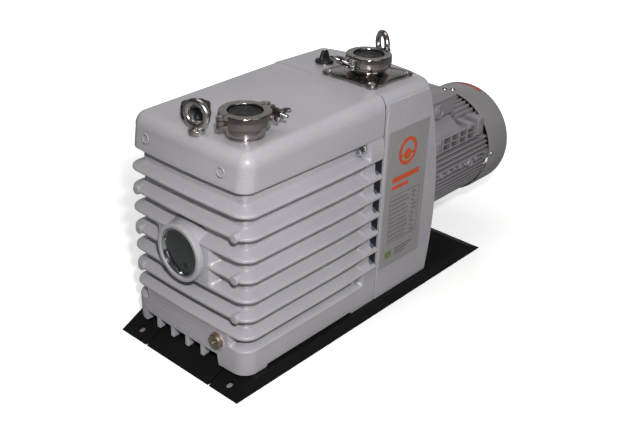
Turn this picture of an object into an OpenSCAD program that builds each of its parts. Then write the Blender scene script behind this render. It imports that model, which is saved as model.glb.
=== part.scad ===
// Two-stage oil-sealed rotary vane vacuum pump with a flange-mounted electric motor.
// X runs across the pump, Y runs along the shaft from the sight glass to the motor,
// Z is up. The origin is on the floor under the middle of the overall length.
// Pieces are drawn in case coordinates, with y = 0 at the case front; at_case() centres them.
// Name endings: _r is a radius, and _x, _y and _z are places along the axes.

/* [Casing] */
// Width over the cooling fins
fin_width = 250; // [244:1:254]
// Width of the smooth cap above the fins
cap_width = 242; // [236:1:244]
// Length of the oil case from its front lip to the parting face
case_length = 304; // [300:1:308]
// Length from the parting face to the motor flange, gasket included
rear_length = 132; // [126:1:136]
// Height of the casing top above the floor
top_z = 384; // [382:1:388]
// Drop of the cap top from the parting face to the front
top_drop = 12; // [8:1:14]
// Number of full cooling fins
fin_count = 6; // [6]
// Vertical pitch of the fins before they close up
fin_pitch = 35; // [34.5:0.25:35.5]
// Closing up of the fins: fin k is raised by this value times k squared
fin_close = 0.27; // [0.2:0.01:0.3]
// Depth of the groove between two fins
groove_depth = 18; // [12:1:20]
// Casing wall thickness
wall = 8; // [6:0.5:9]

/* [Base] */
// Width of the folded base plate
base_width = 266; // [262:1:280]
// Length of the base plate on the floor
base_length = 646; // [640:1:670]
// Height of the base plate top
base_height = 24; // [22:1:26]
// Thickness of the base sheet
sheet_thick = 3; // [2:0.5:4]
// Radius of the anchor holes in the front and rear ears
anchor_r = 5.5; // [5:0.5:7]

/* [Pump stages] */
// Height of the shaft above the floor
shaft_z = 171; // [170:1:172]
// Radius of both stage bores
bore_r = 50; // [48:0.5:52]
// Distance from the shaft axis down to the bore axis
bore_offset = 6; // [5:0.5:7]
// Length of the high-vacuum stage bore
hv_length = 112; // [100:1:116]
// Length of the low-vacuum stage bore
lv_length = 56; // [40:1:60]
// Thickness of a vane
vane_thick = 6; // [5:0.5:8]
// Running clearance of rotor and vanes
clearance = 0.06; // [0.03:0.01:0.09]

/* [Ports] */
// Bore radius of the port necks
port_r = 20; // [19:0.5:21]
// Radius of the clamped port flanges
flange_r = 27.5; // [27.5]
// Distance of the exhaust port from the front of the case
exhaust_y = 66; // [64:1:68]
// Distance of the exhaust port from the middle plane
exhaust_x = 62; // [60:1:64]
// Distance of the intake port from the front of the case
intake_y = 364; // [362:1:366]
// Distance of the intake port from the middle plane
intake_x = 36; // [34:1:38]

/* [Motor] */
// Outside radius of the fan cowl
cowl_r = 101; // [98:1:104]
// Distance from the case front to the closed end of the cowl
motor_end = 743; // [740:1:750]
// Radius of the motor shaft
motor_shaft_r = 14; // [12:1:15]

/* [Hidden] */
$fn = 64;

// colours shared by several nodes
cast_grey = [0.63, 0.63, 0.66];
port_metal = [0.72, 0.7, 0.68];
clamp_metal = [0.7, 0.68, 0.66];
nut_metal = [0.72, 0.7, 0.66];
bright_steel = [0.8, 0.8, 0.8];
plain_steel = [0.7, 0.7, 0.7];
black_plastic = [0.06, 0.06, 0.07];
motor_grey = [0.47, 0.46, 0.47];
box_grey = [0.5, 0.5, 0.5];
vane_brown = [0.25, 0.2, 0.16];
block_iron = [0.4, 0.4, 0.42];

// main stations along Y
base_front = -21;
base_back = base_front + base_length;
gasket_thick = 2;
rear_y = case_length + gasket_thick;   // front face of the rear housing
rear_end = case_length + rear_length;  // motor flange face

// casing
fin_half = fin_width / 2;
cap_bottom_z = 319;
top_tilt = atan(top_drop / case_length);
sight_z = 192;
drain_x = 68;
drain_z = 68;
case_screw_x = 112;
case_screw_z = [79, 307];
motor_bolt_circle = 82;

// top fittings and ports; the cap top slopes, so each seat follows it
function cap_top_z(y) = top_z - (case_length - y) * tan(top_tilt);
eye_r = 12;
// eye bolts: x, y, seat height, turn of the ring
eye_seats = [[10, 25, cap_top_z(25) - 1, 9.5],
             [15, 426, top_z, -28]];
filler_x = -36;
filler_y = 64;
filler_z = cap_top_z(filler_y) - 1;
ballast_x = -50;
ballast_y = 357;
exhaust_z = cap_top_z(exhaust_y) - 1.2;
exhaust_rise = 28;       // from the exhaust seat to the mid height of its joint
intake_rise = 27;        // from the casing top to the mid height of the intake joint
intake_screw_pitch = 44; // half the spacing of the intake flange screws

// ---------------- helpers ----------------
// the span that reaches half to either side of middle
function about(half, middle = 0) = [middle - half, middle + half];

// moves a piece from case coordinates into the part's frame
module at_case() translate([0, -(motor_end + base_front) / 2, 0]) children();

// box between two stations on each axis
module block(xs, ys, zs)
  translate([xs[0], ys[0], zs[0]])
    cube([xs[1] - xs[0], ys[1] - ys[0], zs[1] - zs[0]]);

// box on the +X or -X side; xs holds its inner and outer distance from the middle plane
module side_block(side, xs, ys, zs) block(side > 0 ? xs : [-xs[1], -xs[0]], ys, zs);

// extrusions of a side view along X, a front view along Y and a plan along Z
module along_x(from, to)
  translate([from, 0, 0]) rotate([90, 0, 90]) linear_extrude(to - from) children();
module along_y(from, to)
  translate([0, to, 0]) rotate([90, 0, 0]) linear_extrude(to - from) children();
module along_z(from, to) translate([0, 0, from]) linear_extrude(to - from) children();

// cylinders between two stations on one axis
module cyl_x(y, z, radius, from, to)
  translate([from, y, z]) rotate([0, 90, 0]) cylinder(r = radius, h = to - from);
module cyl_y(x, z, radius, from, to)
  translate([x, to, z]) rotate([90, 0, 0]) cylinder(r = radius, h = to - from);
module cyl_z(x, y, radius, from, to)
  translate([x, y, from]) cylinder(r = radius, h = to - from);
module on_shaft(radius, from, to) cyl_y(0, shaft_z, radius, from, to);

// rings along Y and Z
module ring_y(x, z, outer, inner, from, to) difference() {
  cyl_y(x, z, outer, from, to);
  cyl_y(x, z, inner, from - 1, to + 1);
}
module ring_z(outer, inner, height) difference() {
  cyl_z(0, 0, outer, 0, height);
  cyl_z(0, 0, inner, -1, height + 1);
}
module shaft_ring(outer, inner, from, to) ring_y(0, shaft_z, outer, inner, from, to);

// repeats a piece around the shaft; local X points away from the axis
module around_shaft(y, step)
  for (a = [0:step:359]) translate([0, y, shaft_z]) rotate([0, a, 0]) children();

// cylinders at the four case screws and at the four motor flange screws
module at_case_screws(radius, from, to)
  for (side = [-1, 1], z = case_screw_z) cyl_y(side * case_screw_x, z, radius, from, to);
module at_motor_screws(radius, from, to)
  for (a = [45:90:359])
    cyl_y(motor_bolt_circle * cos(a), shaft_z + motor_bolt_circle * sin(a), radius, from, to);

// plan rectangle with its two front corners rounded
module front_round(half, front, back, radius) union() {
  translate([-half, front + radius]) square([2 * half, back - front - radius]);
  translate([-half + radius, front]) square([2 * half - 2 * radius, radius + 1]);
  for (side = [-1, 1]) translate([side * (half - radius), front + radius]) circle(radius);
}

// centred rectangle with all four corners rounded
module round_rect(width, depth, radius) union() {
  translate([-width / 2 + radius, -depth / 2]) square([width - 2 * radius, depth]);
  translate([-width / 2, -depth / 2 + radius]) square([width, depth - 2 * radius]);
  for (sx = [-1, 1], sy = [-1, 1])
    translate([sx * (width / 2 - radius), sy * (depth / 2 - radius)]) circle(radius);
}

// front view with flat sides and rounded top edges
module top_profile(width, bottom, top, radius) union() {
  translate([-width / 2, bottom]) square([width, top - bottom - radius]);
  translate([-width / 2 + radius, bottom]) square([width - 2 * radius, top - bottom]);
  for (side = [-1, 1]) translate([side * (width / 2 - radius), top - radius]) circle(radius);
}

// ---------------- base ----------------
ramp_length = 47;   // the sheet slopes to the floor over this length at each end
ramp_offset = 0.8;  // setback of the inner bend from the outer one
lip_length = 6.4;   // sheet cut level with the floor
anchor_x = 101;
anchor_inset = 17;
slit_x = 72;
slit_width = 2;

module base_plate() color([0.07, 0.07, 0.075]) at_case() difference() {
  base_half = base_width / 2;
  ramp_front = base_front + ramp_length;
  ramp_back = base_back - ramp_length;
  under = base_height - sheet_thick;
  opening_z = [under - 2, base_height + 2];
  union() {
    along_x(-base_half, base_half) polygon([
      [base_front, 0], [base_front + lip_length, 0],
      [ramp_front + ramp_offset, under], [ramp_back - ramp_offset, under],
      [base_back - lip_length, 0], [base_back, 0],
      [ramp_back, base_height], [ramp_front, base_height]]);
    // side walls
    for (x = [-base_half, base_half - sheet_thick]) along_x(x, x + sheet_thick)
      polygon([[base_front, 0], [base_back, 0],
               [ramp_back, base_height], [ramp_front, base_height]]);
  }
  // openings in the middle of the plate
  block([-64, 60], [40, 234], opening_z);
  block([-64, 64], [470, 550], opening_z);
  // slits that free the four corner ears
  for (side = [-1, 1], y = [base_front - 1, ramp_back])
    block(about(slit_width / 2, side * slit_x), [y, y + ramp_length + 1], [-1, base_height + 2]);
  for (side = [-1, 1], y = [base_front + anchor_inset, base_back - anchor_inset])
    cyl_z(side * anchor_x, y, anchor_r, -1, base_height + 3);
}

// ---------------- oil case ----------------
case_floor_z = 58;
skirt_z = base_height + 18;
cap_edge_r = 20;
fin_corner_r = 24;
skirt_corner_r = 26;
sight_seat_r = 38;
sight_window_r = 33;
leg_x = [-68, -34, 0, 34];
// section of a fin, thin outer lip to thick root: height above the lip, thickness, inset
fin_steps = [[0, 5, 0], [5, 3, 6], [8, 3, 12]];

function fin_z(k) = cap_bottom_z - fin_pitch * k + fin_close * k * k;
// the sides swell slightly between cap and base
function swell(z) = 3.6 * (1 - pow((z - 160) / 160, 2));

// big upright cylinder whose surface gives the front face its gentle forward bow
module bow() {
  bow_r = 2000;
  translate([0, bow_r - 1, 0]) cylinder(r = bow_r, h = 420, $fn = 128);
}

module fin_ring(z, thick, inset) along_z(z, z + thick) difference() {
  front_round(fin_half - inset + swell(z), inset, case_length, fin_corner_r - inset / 2);
  front_round(fin_half - groove_depth - 4, groove_depth + 4, case_length + 1, 18);
}

// tips a shape about the top of the parting face to the slope of the cap
module tilt_top()
  translate([0, case_length, top_z]) rotate([top_tilt, 0, 0])
    translate([0, -case_length, -top_z]) children();

// cap with a top that slopes down to the front
module case_cap() intersection() {
  skin_z = cap_bottom_z - 40;
  along_z(cap_bottom_z, top_z) front_round(cap_width / 2, 0, case_length, 28);
  tilt_top() along_y(-20, case_length + 20) top_profile(cap_width, skin_z, top_z, 14);
  tilt_top() along_x(-200, 200) union() {
    translate([-2, skin_z]) square([case_length + 20, top_z - cap_edge_r - skin_z]);
    translate([cap_edge_r - 2, cap_bottom_z]) square([case_length, top_z - cap_bottom_z]);
    translate([cap_edge_r - 2, top_z - cap_edge_r]) circle(cap_edge_r);
  }
  bow();
}

module case_fins_and_skirt() intersection() {
  union() {
    for (k = [1:fin_count], step = fin_steps) fin_ring(fin_z(k) + step[0], step[1], step[2]);
    // the lowest fin runs along the sides only
    for (side = [-1, 1]) intersection() {
      fin_ring(fin_z(fin_count + 1) + 1, 4, 0);
      side_block(side, [90, 132], [-1, case_length + 1], [60, 120]);
    }
    // skirt under the last fin
    along_z(skirt_z, 68) front_round(fin_half - 6, 6, case_length, skirt_corner_r);
    along_z(skirt_z, 62) front_round(fin_half - 1, 1, case_length, skirt_corner_r);
    // taller panel in the middle of the front
    intersection() {
      along_z(skirt_z, fin_z(fin_count + 1) + 6)
        front_round(fin_half, 0.5, case_length, skirt_corner_r);
      block(about(88), [-20, 40], [0, 200]);
    }
  }
  bow();
}

module case_feet() intersection() {
  outer = fin_half - 1;
  foot_top = base_height + 26;
  union() {
    for (side = [-1, 1]) {
      side_block(side, [side > 0 ? 70 : 96, outer], [1, 45], [base_height, foot_top]);
      side_block(side, [92, outer], [245, case_length], [base_height, foot_top]);
      side_block(side, [92, outer], [30, case_length - 10], [base_height + 4, foot_top]);
    }
    for (x = leg_x) block(about(4, x), [1, 20], [base_height, base_height + 22]);
  }
  along_z(base_height, base_height + 60) front_round(outer, 1, case_length, 28);
  bow();
}

module case_bosses() {
  // sight-glass boss and the bars across it
  cyl_y(0, sight_z, 45, -7, groove_depth + 2);
  for (z = [sight_z - 20, sight_z + 14]) block(about(66), [1, 1 + groove_depth], [z, z + 8]);
  // small bosses on alternate fins
  for (side = [-1, 1], k = [2, 4, 6])
    cyl_y(side * 103, fin_z(k) + 3, 6.5, 6.5, groove_depth + 14);
  cyl_y(drain_x, drain_z, 15, 3, groove_depth + 12);
  // exhaust, filler and eye-bolt bosses inside the top
  cyl_z(exhaust_x, exhaust_y, 34, exhaust_z - 34, exhaust_z - 4);
  cyl_z(filler_x, filler_y, 24, filler_z - 28, filler_z - 4);
  eye = eye_seats[0];
  cyl_z(eye[0], eye[1], 14, eye[2] - 30, eye[2] - 4);
  // rear bosses for the case screws
  at_case_screws(9, case_length - 40, case_length);
}

module case_holes() {
  // sight-glass seat and window
  cyl_y(0, sight_z, sight_seat_r, -8, 6);
  cyl_y(0, sight_z, sight_window_r, 5, 60);
  // each opening in the top has a bore and a wider seat
  cyl_y(drain_x, drain_z, 8, 0, 60);
  cyl_y(drain_x, drain_z, 13.5, -6, 3);
  cyl_z(exhaust_x, exhaust_y, port_r + 4, exhaust_z - 60, exhaust_z + 20);
  cyl_z(exhaust_x, exhaust_y, 28.2, exhaust_z, exhaust_z + 20);
  cyl_z(filler_x, filler_y, 17, filler_z - 60, filler_z + 20);
  cyl_z(filler_x, filler_y, 22.5, filler_z, filler_z + 20);
  eye = eye_seats[0];
  cyl_z(eye[0], eye[1], 6, eye[2] - 22, eye[2] + 8);
  cyl_z(eye[0], eye[1], eye_r + 0.3, eye[2], eye[2] + 20);
  // case screw holes and the pockets for their heads
  at_case_screws(4.3, case_length - 60, case_length + 1);
  at_case_screws(8, case_length - 62, case_length - 40);
  // narrow slots in the sides at the parting face
  for (side = [-1, 1], k = [1:fin_count])
    side_block(side, [fin_half - groove_depth + 1, fin_half + 1],
      [case_length - 6, case_length + 4], [fin_z(k) - 24, fin_z(k) - 2]);
}

module oil_case() color(cast_grey) at_case() difference() {
  union() {
    case_cap();
    // recessed wall behind the fins
    along_z(case_floor_z, cap_bottom_z + 1)
      front_round(fin_half - groove_depth, groove_depth, case_length, 20);
    case_fins_and_skirt();
    case_feet();
    case_bosses();
  }
  // oil space
  along_z(case_floor_z + wall, top_z - top_drop - wall)
    front_round(fin_half - groove_depth - wall, groove_depth + wall, case_length + 1, 14);
  case_holes();
}

module case_gasket() color([0.2, 0.25, 0.3]) at_case() along_y(case_length, rear_y)
  difference() {
    middle_z = (top_z + 50) / 2;
    translate([0, middle_z]) round_rect(cap_width - 1, top_z - 66, 12);
    translate([0, middle_z]) round_rect(cap_width - 50, top_z - 96, 8);
    for (side = [-1, 1], z = case_screw_z) translate([side * case_screw_x, z]) circle(4.3);
  }

// ---------------- rear housing ----------------
bulkhead = 16;   // thickness of the housing's front wall

module at_intake_screws()
  for (sx = [-1, 1], sy = [-1, 1])
    translate([sx * intake_screw_pitch, sy * intake_screw_pitch, 0]) children();

module rear_housing() color(cast_grey) at_case() difference() {
  union() {
    along_y(rear_y, rear_end) top_profile(cap_width, base_height + 6, top_z, 14);
    // flat raised side panels with an arched rear edge beside the motor flange
    intersection() {
      for (side = [-1, 1])
        side_block(side, [cap_width / 2 - 4, fin_half], [rear_y, rear_y + 170],
          [base_height, 374]);
      cyl_x(rear_y - 449, 140, 610, -200, 200);
    }
    // feet
    for (side = [-1, 1])
      side_block(side, [88, fin_half - 2], [rear_y, rear_y + rear_length - 14],
        [base_height, base_height + 40]);
  }
  // coupling chamber and its round opening to the motor
  along_y(rear_y + bulkhead, rear_end - 10)
    translate([0, 198]) round_rect(cap_width - 2 * wall - 8, 270, 20);
  on_shaft(75, rear_y + bulkhead, rear_end + 1);
  // shaft passage and seal seat
  on_shaft(17, rear_y - 1, rear_y + 30);
  on_shaft(26, rear_y + 4, rear_y + 30);
  // intake, gas-ballast and eye-bolt bores
  cyl_z(intake_x, intake_y, port_r, top_z - 30, top_z + 10);
  cyl_z(ballast_x, ballast_y, 8, top_z - 30, top_z + 10);
  cyl_z(eye_seats[1][0], eye_seats[1][1], 6, top_z - 22, top_z + 8);
  // screw holes
  at_case_screws(4, rear_y - 1, rear_y + 14);
  at_motor_screws(4, rear_end - 11, rear_end + 1);
  translate([intake_x, intake_y, 0]) at_intake_screws() cyl_z(0, 0, 3, top_z - 10, top_z + 2);
}

// four screws hold the oil case to the rear housing, four hold the motor flange
module housing_screws() color([0.75, 0.76, 0.78]) at_case() {
  at_case_screws(3.95, case_length - 41, rear_y + 13);
  at_case_screws(7, case_length - 50, case_length - 40);
  at_motor_screws(3.95, rear_end - 10, rear_end + 11);
  at_motor_screws(6.5, rear_end + 10, rear_end + 15.5);
}

// ---------------- sight glass, drain and filler ----------------
glass_r = sight_seat_r - 0.4;

module sight_glass_ring() color(bright_steel) at_case()
  ring_y(0, sight_z, sight_seat_r - 0.1, sight_window_r, -6.5, -0.5);

module sight_glass() color([0.2, 0.27, 0.27]) at_case()
  cyl_y(0, sight_z, glass_r, -0.5, 4.5);

module sight_glass_seal() color([0.1, 0.1, 0.1]) at_case()
  ring_y(0, sight_z, glass_r, sight_window_r + 0.2, 4.5, 6);

module drain_plug() color([0.72, 0.6, 0.4]) at_case() difference() {
  union() {
    cyl_y(drain_x, drain_z, 12, -4.5, 1.5);
    cyl_y(drain_x, drain_z, 7.95, 1, 26);
  }
  // hexagon socket
  cyl_y(drain_x, drain_z, 4.6, -10, 0, $fn = 6);
}

module drain_washer() color([0.75, 0.45, 0.2]) at_case()
  ring_y(drain_x, drain_z, 13, 8, 1.5, 3);

module oil_filler_cap() color(black_plastic) at_case()
  translate([filler_x, filler_y, filler_z]) difference() {
    union() {
      cyl_z(0, 0, 16.94, -16, 3);
      cyl_z(0, 0, 22.4, 2, 20);
    }
    // finger grips
    for (a = [0:45:359]) rotate(a) cyl_z(25, 0, 5.5, 5, 25);
  }

module filler_seal() color([0.05, 0.05, 0.05]) at_case()
  translate([filler_x, filler_y, filler_z]) ring_z(21, 17, 2);

// ---------------- ports ----------------
// Clamps, necks, seals and plugs are drawn about the mid height of the joint.
// Outlines that are turned about Z list radius and height.
neck_r = 22.3;
module neck_top() polygon([
  [port_r, -12], [neck_r, -12], [neck_r, -5.4], [flange_r, -4],
  [flange_r, -1.5], [20.6, -1.5], [20.6, -4], [port_r, -4]]);

module exhaust_nozzle() color(port_metal) at_case()
  translate([exhaust_x, exhaust_y, exhaust_z + exhaust_rise]) rotate_extrude() union() {
    neck_top();
    translate([0, -exhaust_rise]) polygon([
      [port_r, -14], [port_r + 3.95, -14], [port_r + 3.95, 0], [28, 0], [28, 5], [27.2, 5],
      [27.2, 6.5], [28, 6.5], [28, 15], [neck_r, 17], [port_r, 17]]);
  }

module intake_flange() color(port_metal) at_case()
  translate([intake_x, intake_y, top_z]) difference() {
    union() {
      linear_extrude(6) difference() {
        round_rect(108, 108, 10);
        // shallow hollows in three sides
        for (a = [-90, 0, 180]) rotate(a) translate([190.5, 0]) circle(140, $fn = 256);
        // deeper hollow on the side of the rear eye bolt
        rotate(90) translate([113.7, 0]) circle(68.7, $fn = 128);
      }
      rotate_extrude() union() {
        translate([0, intake_rise]) neck_top();
        polygon([[port_r, 0], [38, 0], [38, 7], [28, 9], [27, 13], [neck_r, 15.5],
                 [port_r, 16]]);
      }
    }
    at_intake_screws() cyl_z(0, 0, 3.3, -1, 8);
  }

module intake_flange_screws() color([0.75, 0.75, 0.76]) at_case()
  translate([intake_x, intake_y, top_z]) at_intake_screws() difference() {
    union() {
      cyl_z(0, 0, 5, 6, 11);
      cyl_z(0, 0, 2.95, -8, 7);
    }
    cyl_z(0, 0, 2.4, 8, 13, $fn = 6);
  }

// perforated disc; the holes stand on circles and shrink outwards
module intake_screen() color(plain_steel) at_case()
  translate([intake_x, intake_y, top_z - 6]) difference() {
    cylinder(r = port_r - 0.05, h = 1.2);
    for (row_r = [0, 6.2, 12.2, 17.6],
         a = [0:(row_r == 0 ? 360 : 360 / round(row_r * 0.95)):359])
      rotate(a) cyl_z(row_r, 0, 2.3 - row_r * 0.03, -1, 3, $fn = 16);
  }

module at_exhaust() at_case()
  translate([exhaust_x, exhaust_y, exhaust_z + exhaust_rise]) rotate(-6) children();
module at_intake() at_case()
  translate([intake_x, intake_y, top_z + intake_rise]) rotate(174) children();
module at_ports() {
  at_exhaust() children();
  at_intake() children();
}

module port_seal_rings() color([0.12, 0.12, 0.12]) at_ports() rotate_extrude() polygon([
  [17.6, -4], [20.5, -4], [20.5, -1.5], [25.5, -1.5],
  [25.5, 1.5], [20.5, 1.5], [20.5, 4], [17.6, 4]]);

module port_blank_plugs() color(black_plastic) at_ports() rotate_extrude() polygon([
  [0, 4], [20.6, 4], [20.6, 1.5], [flange_r, 1.5], [flange_r, 4],
  [neck_r, 5.4], [neck_r, 6.5], [0, 6.5]]);

// Clamp frame: the halves part at x = 0 and the swing bolt points to +X.
clamp_half_height = 9;
hinge_y = -41;
hinge_gap = 3.7;   // half height of the gap between the outer hinge knuckles
knuckle_r = 6;
pivot_x = -8;      // pivot of the swing bolt
pivot_y = 43;
pin_r = 2.5;
pin_hole_r = pin_r + 0.05;

module clamp_ring() rotate_extrude() polygon([
  [24.5, -clamp_half_height], [36.5, -clamp_half_height],
  [36.5, clamp_half_height], [24.5, clamp_half_height],
  [24.5, 5.1], [28, 4.15], [28, -4.15], [24.5, -5.1]]);

// the half that carries the bolt pivot, with the middle hinge knuckle
module clamp_left() difference() {
  union() {
    intersection() {
      clamp_ring();
      block([-60, -0.5], about(60), about(60));
    }
    block([-15, -1], [31, 49.5], about(7.5));
    cyl_z(0, hinge_y, knuckle_r, -3.5, 3.5);
    block([-9, -1], [hinge_y, hinge_y + 8], about(3.5));
  }
  cyl_z(0, 0, 28, -4.15, 4.15);
  cyl_z(0, hinge_y, pin_hole_r, -20, 20);
  // room for the other half's knuckles
  for (z = [hinge_gap, -hinge_gap - 6]) cyl_z(0, hinge_y, knuckle_r + 0.3, z, z + 6);
  // slot and pivot hole of the swing bolt
  block([-20, 10], [37.5, 57.5], about(3.5));
  cyl_z(pivot_x, pivot_y, pin_hole_r, -20, 20);
}

// the half that the bolt swings into, with the two outer hinge knuckles
module clamp_right() difference() {
  union() {
    intersection() {
      clamp_ring();
      block([0.5, 60], about(60), about(60));
    }
    block([1, 9], [31, 47], about(7.5));
    for (zs = [[hinge_gap, clamp_half_height], [-clamp_half_height, -hinge_gap]]) {
      cyl_z(0, hinge_y, knuckle_r, zs[0], zs[1]);
      block([1, 9], [hinge_y, hinge_y + 8], zs);
    }
  }
  cyl_z(0, 0, 28, -4.15, 4.15);
  cyl_z(0, hinge_y, pin_hole_r, -20, 20);
  cyl_z(0, hinge_y, knuckle_r + 0.3, -hinge_gap, hinge_gap);
  block([-2, 28], [37.5, 57.5], about(3.5));
}

module clamp_pins() color([0.78, 0.78, 0.78]) at_ports() {
  cyl_z(0, hinge_y, pin_r, -9.5, 9.5);
  cyl_z(pivot_x, pivot_y, pin_r, -8, 8);
}

module swing_bolt() difference() {
  union() {
    cyl_z(pivot_x, pivot_y, 5, -3.3, 3.3);
    cyl_x(pivot_y, 0, 3, pivot_x, pivot_x + 46);
  }
  cyl_z(pivot_x, pivot_y, pin_r + 0.06, -20, 20);
}

// drawn about Z, then laid along the bolt
module wing_nut()
  translate([0, pivot_y, 0]) rotate([-65, 0, 0]) rotate([0, 90, 0]) difference() {
    union() {
      cyl_z(0, 0, 4.5, 9.5, 13.5);
      cyl_z(0, 0, 6.2, 12, 29);
      for (side = [-1, 1]) along_y(-1.6, 1.6) polygon([
        [side * 2, 20], [side * 9, 22], [side * 14, 28],
        [side * 14, 33], [side * 10, 34], [side * 4, 28]]);
    }
    cyl_z(0, 0, 3.05, 0, 60);
  }

module exhaust_clamp_left_half() color(clamp_metal) at_exhaust() clamp_left();
module exhaust_clamp_right_half() color(clamp_metal) at_exhaust() clamp_right();
module exhaust_clamp_bolt() color(bright_steel) at_exhaust() swing_bolt();
module exhaust_wing_nut() color(nut_metal) at_exhaust() wing_nut();
module intake_clamp_left_half() color(clamp_metal) at_intake() clamp_left();
module intake_clamp_right_half() color(clamp_metal) at_intake() clamp_right();
module intake_clamp_bolt() color(bright_steel) at_intake() swing_bolt();
module intake_wing_nut() color(nut_metal) at_intake() wing_nut();

// ---------------- top fittings and label ----------------
module eye_bolts() color([0.8, 0.79, 0.78]) at_case()
  for (eye = eye_seats) translate([eye[0], eye[1], eye[2]]) union() {
    cyl_z(0, 0, eye_r, 0, 4);
    cyl_z(0, 0, 9, 3, 10);
    cyl_z(0, 0, 5.95, -20, 2);
    translate([0, 0, 27.5]) rotate(eye[3]) rotate([90, 0, 0])
      rotate_extrude() translate([17.5, 0]) circle(5);
  }

module gas_ballast_knob() color([0.05, 0.05, 0.06]) at_case()
  translate([ballast_x, ballast_y, top_z]) union() {
    cyl_z(0, 0, 7.94, -14, 3);
    cyl_z(0, 0, 15.5, 2, 7);
    rotate(75) block(about(10), about(4), [6, 26]);
  }

module gas_ballast_seat() color(plain_steel) at_case()
  translate([ballast_x, ballast_y, top_z]) ring_z(13, 8, 2);

module rating_label() color([0.5, 0.52, 0.5]) at_case()
  block([fin_half, fin_half + 1], [313, 421], [80, 323]);

// ---------------- motor ----------------
frame_front = rear_end + 16;
frame_back = 660;
frame_bore_r = 80;
inner_fit_r = frame_bore_r - 0.05;   // pieces that sit inside the frame bore
bearing_seat_r = 26;
stator_front = 500;
stator_back = 620;
terminal_y = 553;                    // middle of the terminal box
terminal_z = shaft_z + 91;           // underside of the terminal box
lid_z = terminal_z + 30;
cowl_front = 672;
cowl_screw_y = 680;
cowl_edge_r = 8;
fan_y = 696;

// frame fins seen from the front: four sets of parallel ribs
module frame_fins()
  for (turn = [0:90:359]) rotate(turn)
    for (i = [-4:4]) translate([60, i * 12 - 1.5]) square([40, 3]);

module motor_frame() color(motor_grey) at_case() difference() {
  union() {
    on_shaft(85, frame_front, frame_back);
    along_y(frame_front + 8, frame_back - 10) translate([0, shaft_z]) intersection() {
      frame_fins();
      circle(96);
    }
    // terminal box pad
    block(about(48), about(59, terminal_y), [shaft_z + 60, terminal_z]);
    // raised blocks on both sides of the top
    for (side = [-1, 1])
      side_block(side, [62, 92], [520, 638], [shaft_z + 44, shaft_z + 70]);
  }
  on_shaft(frame_bore_r, frame_front - 1, frame_back + 1);
  block(about(56), about(57, terminal_y), [terminal_z, terminal_z + 40]);
  // four pockets in each side block
  for (side = [-1, 1], i = [0:3])
    side_block(side, [78, 98], [526 + i * 28, 548 + i * 28], [shaft_z + 50, shaft_z + 64]);
}

module motor_flange_shield() color(motor_grey) at_case() difference() {
  union() {
    on_shaft(98, rear_end, rear_end + 10);
    on_shaft(74, rear_end + 9, frame_front + 1);
    on_shaft(inner_fit_r, frame_front, frame_front + 8);
  }
  on_shaft(16, rear_end - 1, frame_front + 20);
  on_shaft(bearing_seat_r, rear_end + 6, frame_front + 20);
  at_motor_screws(4.5, rear_end - 1, rear_end + 11);
}

module motor_rear_shield() color(motor_grey) at_case() difference() {
  union() {
    on_shaft(90, frame_back, frame_back + 9);
    on_shaft(inner_fit_r, frame_back - 8, frame_back + 1);
    // lugs that take the cowl screws
    around_shaft(frame_back, 90) block([86, 97.9], [0, 28], about(7));
  }
  on_shaft(16, frame_back - 20, frame_back + 20);
  on_shaft(bearing_seat_r, frame_back - 20, frame_back + 2);
  around_shaft(cowl_screw_y, 90) cyl_x(0, 0, 2.5, 84, 102);
}

module terminal_box() color(box_grey) at_case() difference() {
  block(about(54), about(55, terminal_y), [terminal_z, lid_z]);
  block(about(49), about(50, terminal_y), [terminal_z + 4, lid_z + 4]);
  cyl_x(terminal_y, terminal_z + 14, 9, 40, 60);
}

module at_lid_screws()
  for (sx = [-1, 1], sy = [-1, 1])
    translate([sx * 40, terminal_y + sy * 44, lid_z]) children();

module terminal_box_lid() color(box_grey) at_case() difference() {
  union() {
    block(about(55), about(56, terminal_y), [lid_z, lid_z + 4]);
    along_y(terminal_y - 56, terminal_y + 56)
      polygon([[-55, lid_z + 3], [55, lid_z + 3], [44, lid_z + 13], [-44, lid_z + 13]]);
  }
  block(about(47), about(48, terminal_y), [lid_z - 3, lid_z + 5]);
  at_lid_screws() cyl_z(0, 0, 2.6, -1, 19);
}

module terminal_box_screws() color(bright_steel) at_case() at_lid_screws() {
  cyl_z(0, 0, 2.5, 0, 14);
  cyl_z(0, 0, 4.5, 13, 16);
}

module cable_plug() color([0.42, 0.42, 0.42]) at_case() union() {
  cyl_x(terminal_y, terminal_z + 14, 8.95, 48, 55);
  cyl_x(terminal_y, terminal_z + 14, 12.5, 54, 59);
}

module fan_cowl() color([0.5, 0.49, 0.48]) at_case() difference() {
  edge_y = motor_end - cowl_edge_r;
  face_r = cowl_r - cowl_edge_r;
  union() {
    on_shaft(cowl_r, cowl_front, edge_y);
    on_shaft(face_r, edge_y - 1, motor_end);
    translate([0, edge_y, shaft_z]) rotate([90, 0, 0])
      rotate_extrude() translate([face_r, 0]) circle(cowl_edge_r);
  }
  on_shaft(cowl_r - 2, cowl_front - 2, edge_y);
  on_shaft(face_r, motor_end - 10, motor_end - 2);
  // ring slots of the air inlet, bridged by spokes
  for (i = [0:4]) difference() {
    on_shaft(30 + i * 12, motor_end - 5, motor_end + 1);
    on_shaft(24 + i * 12, motor_end - 6, motor_end + 2);
    around_shaft(motor_end - 6, 45) block([0, 110], [0, 8], about(2.5));
  }
  around_shaft(cowl_screw_y, 90) cyl_x(0, 0, 2.7, 90, 110);
}

module cowl_screws() color([0.8, 0.82, 0.85]) at_case() around_shaft(cowl_screw_y, 90) {
  cyl_x(0, 0, 2.45, 88, cowl_r);
  cyl_x(0, 0, 4.6, cowl_r, cowl_r + 3.2);
}

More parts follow.
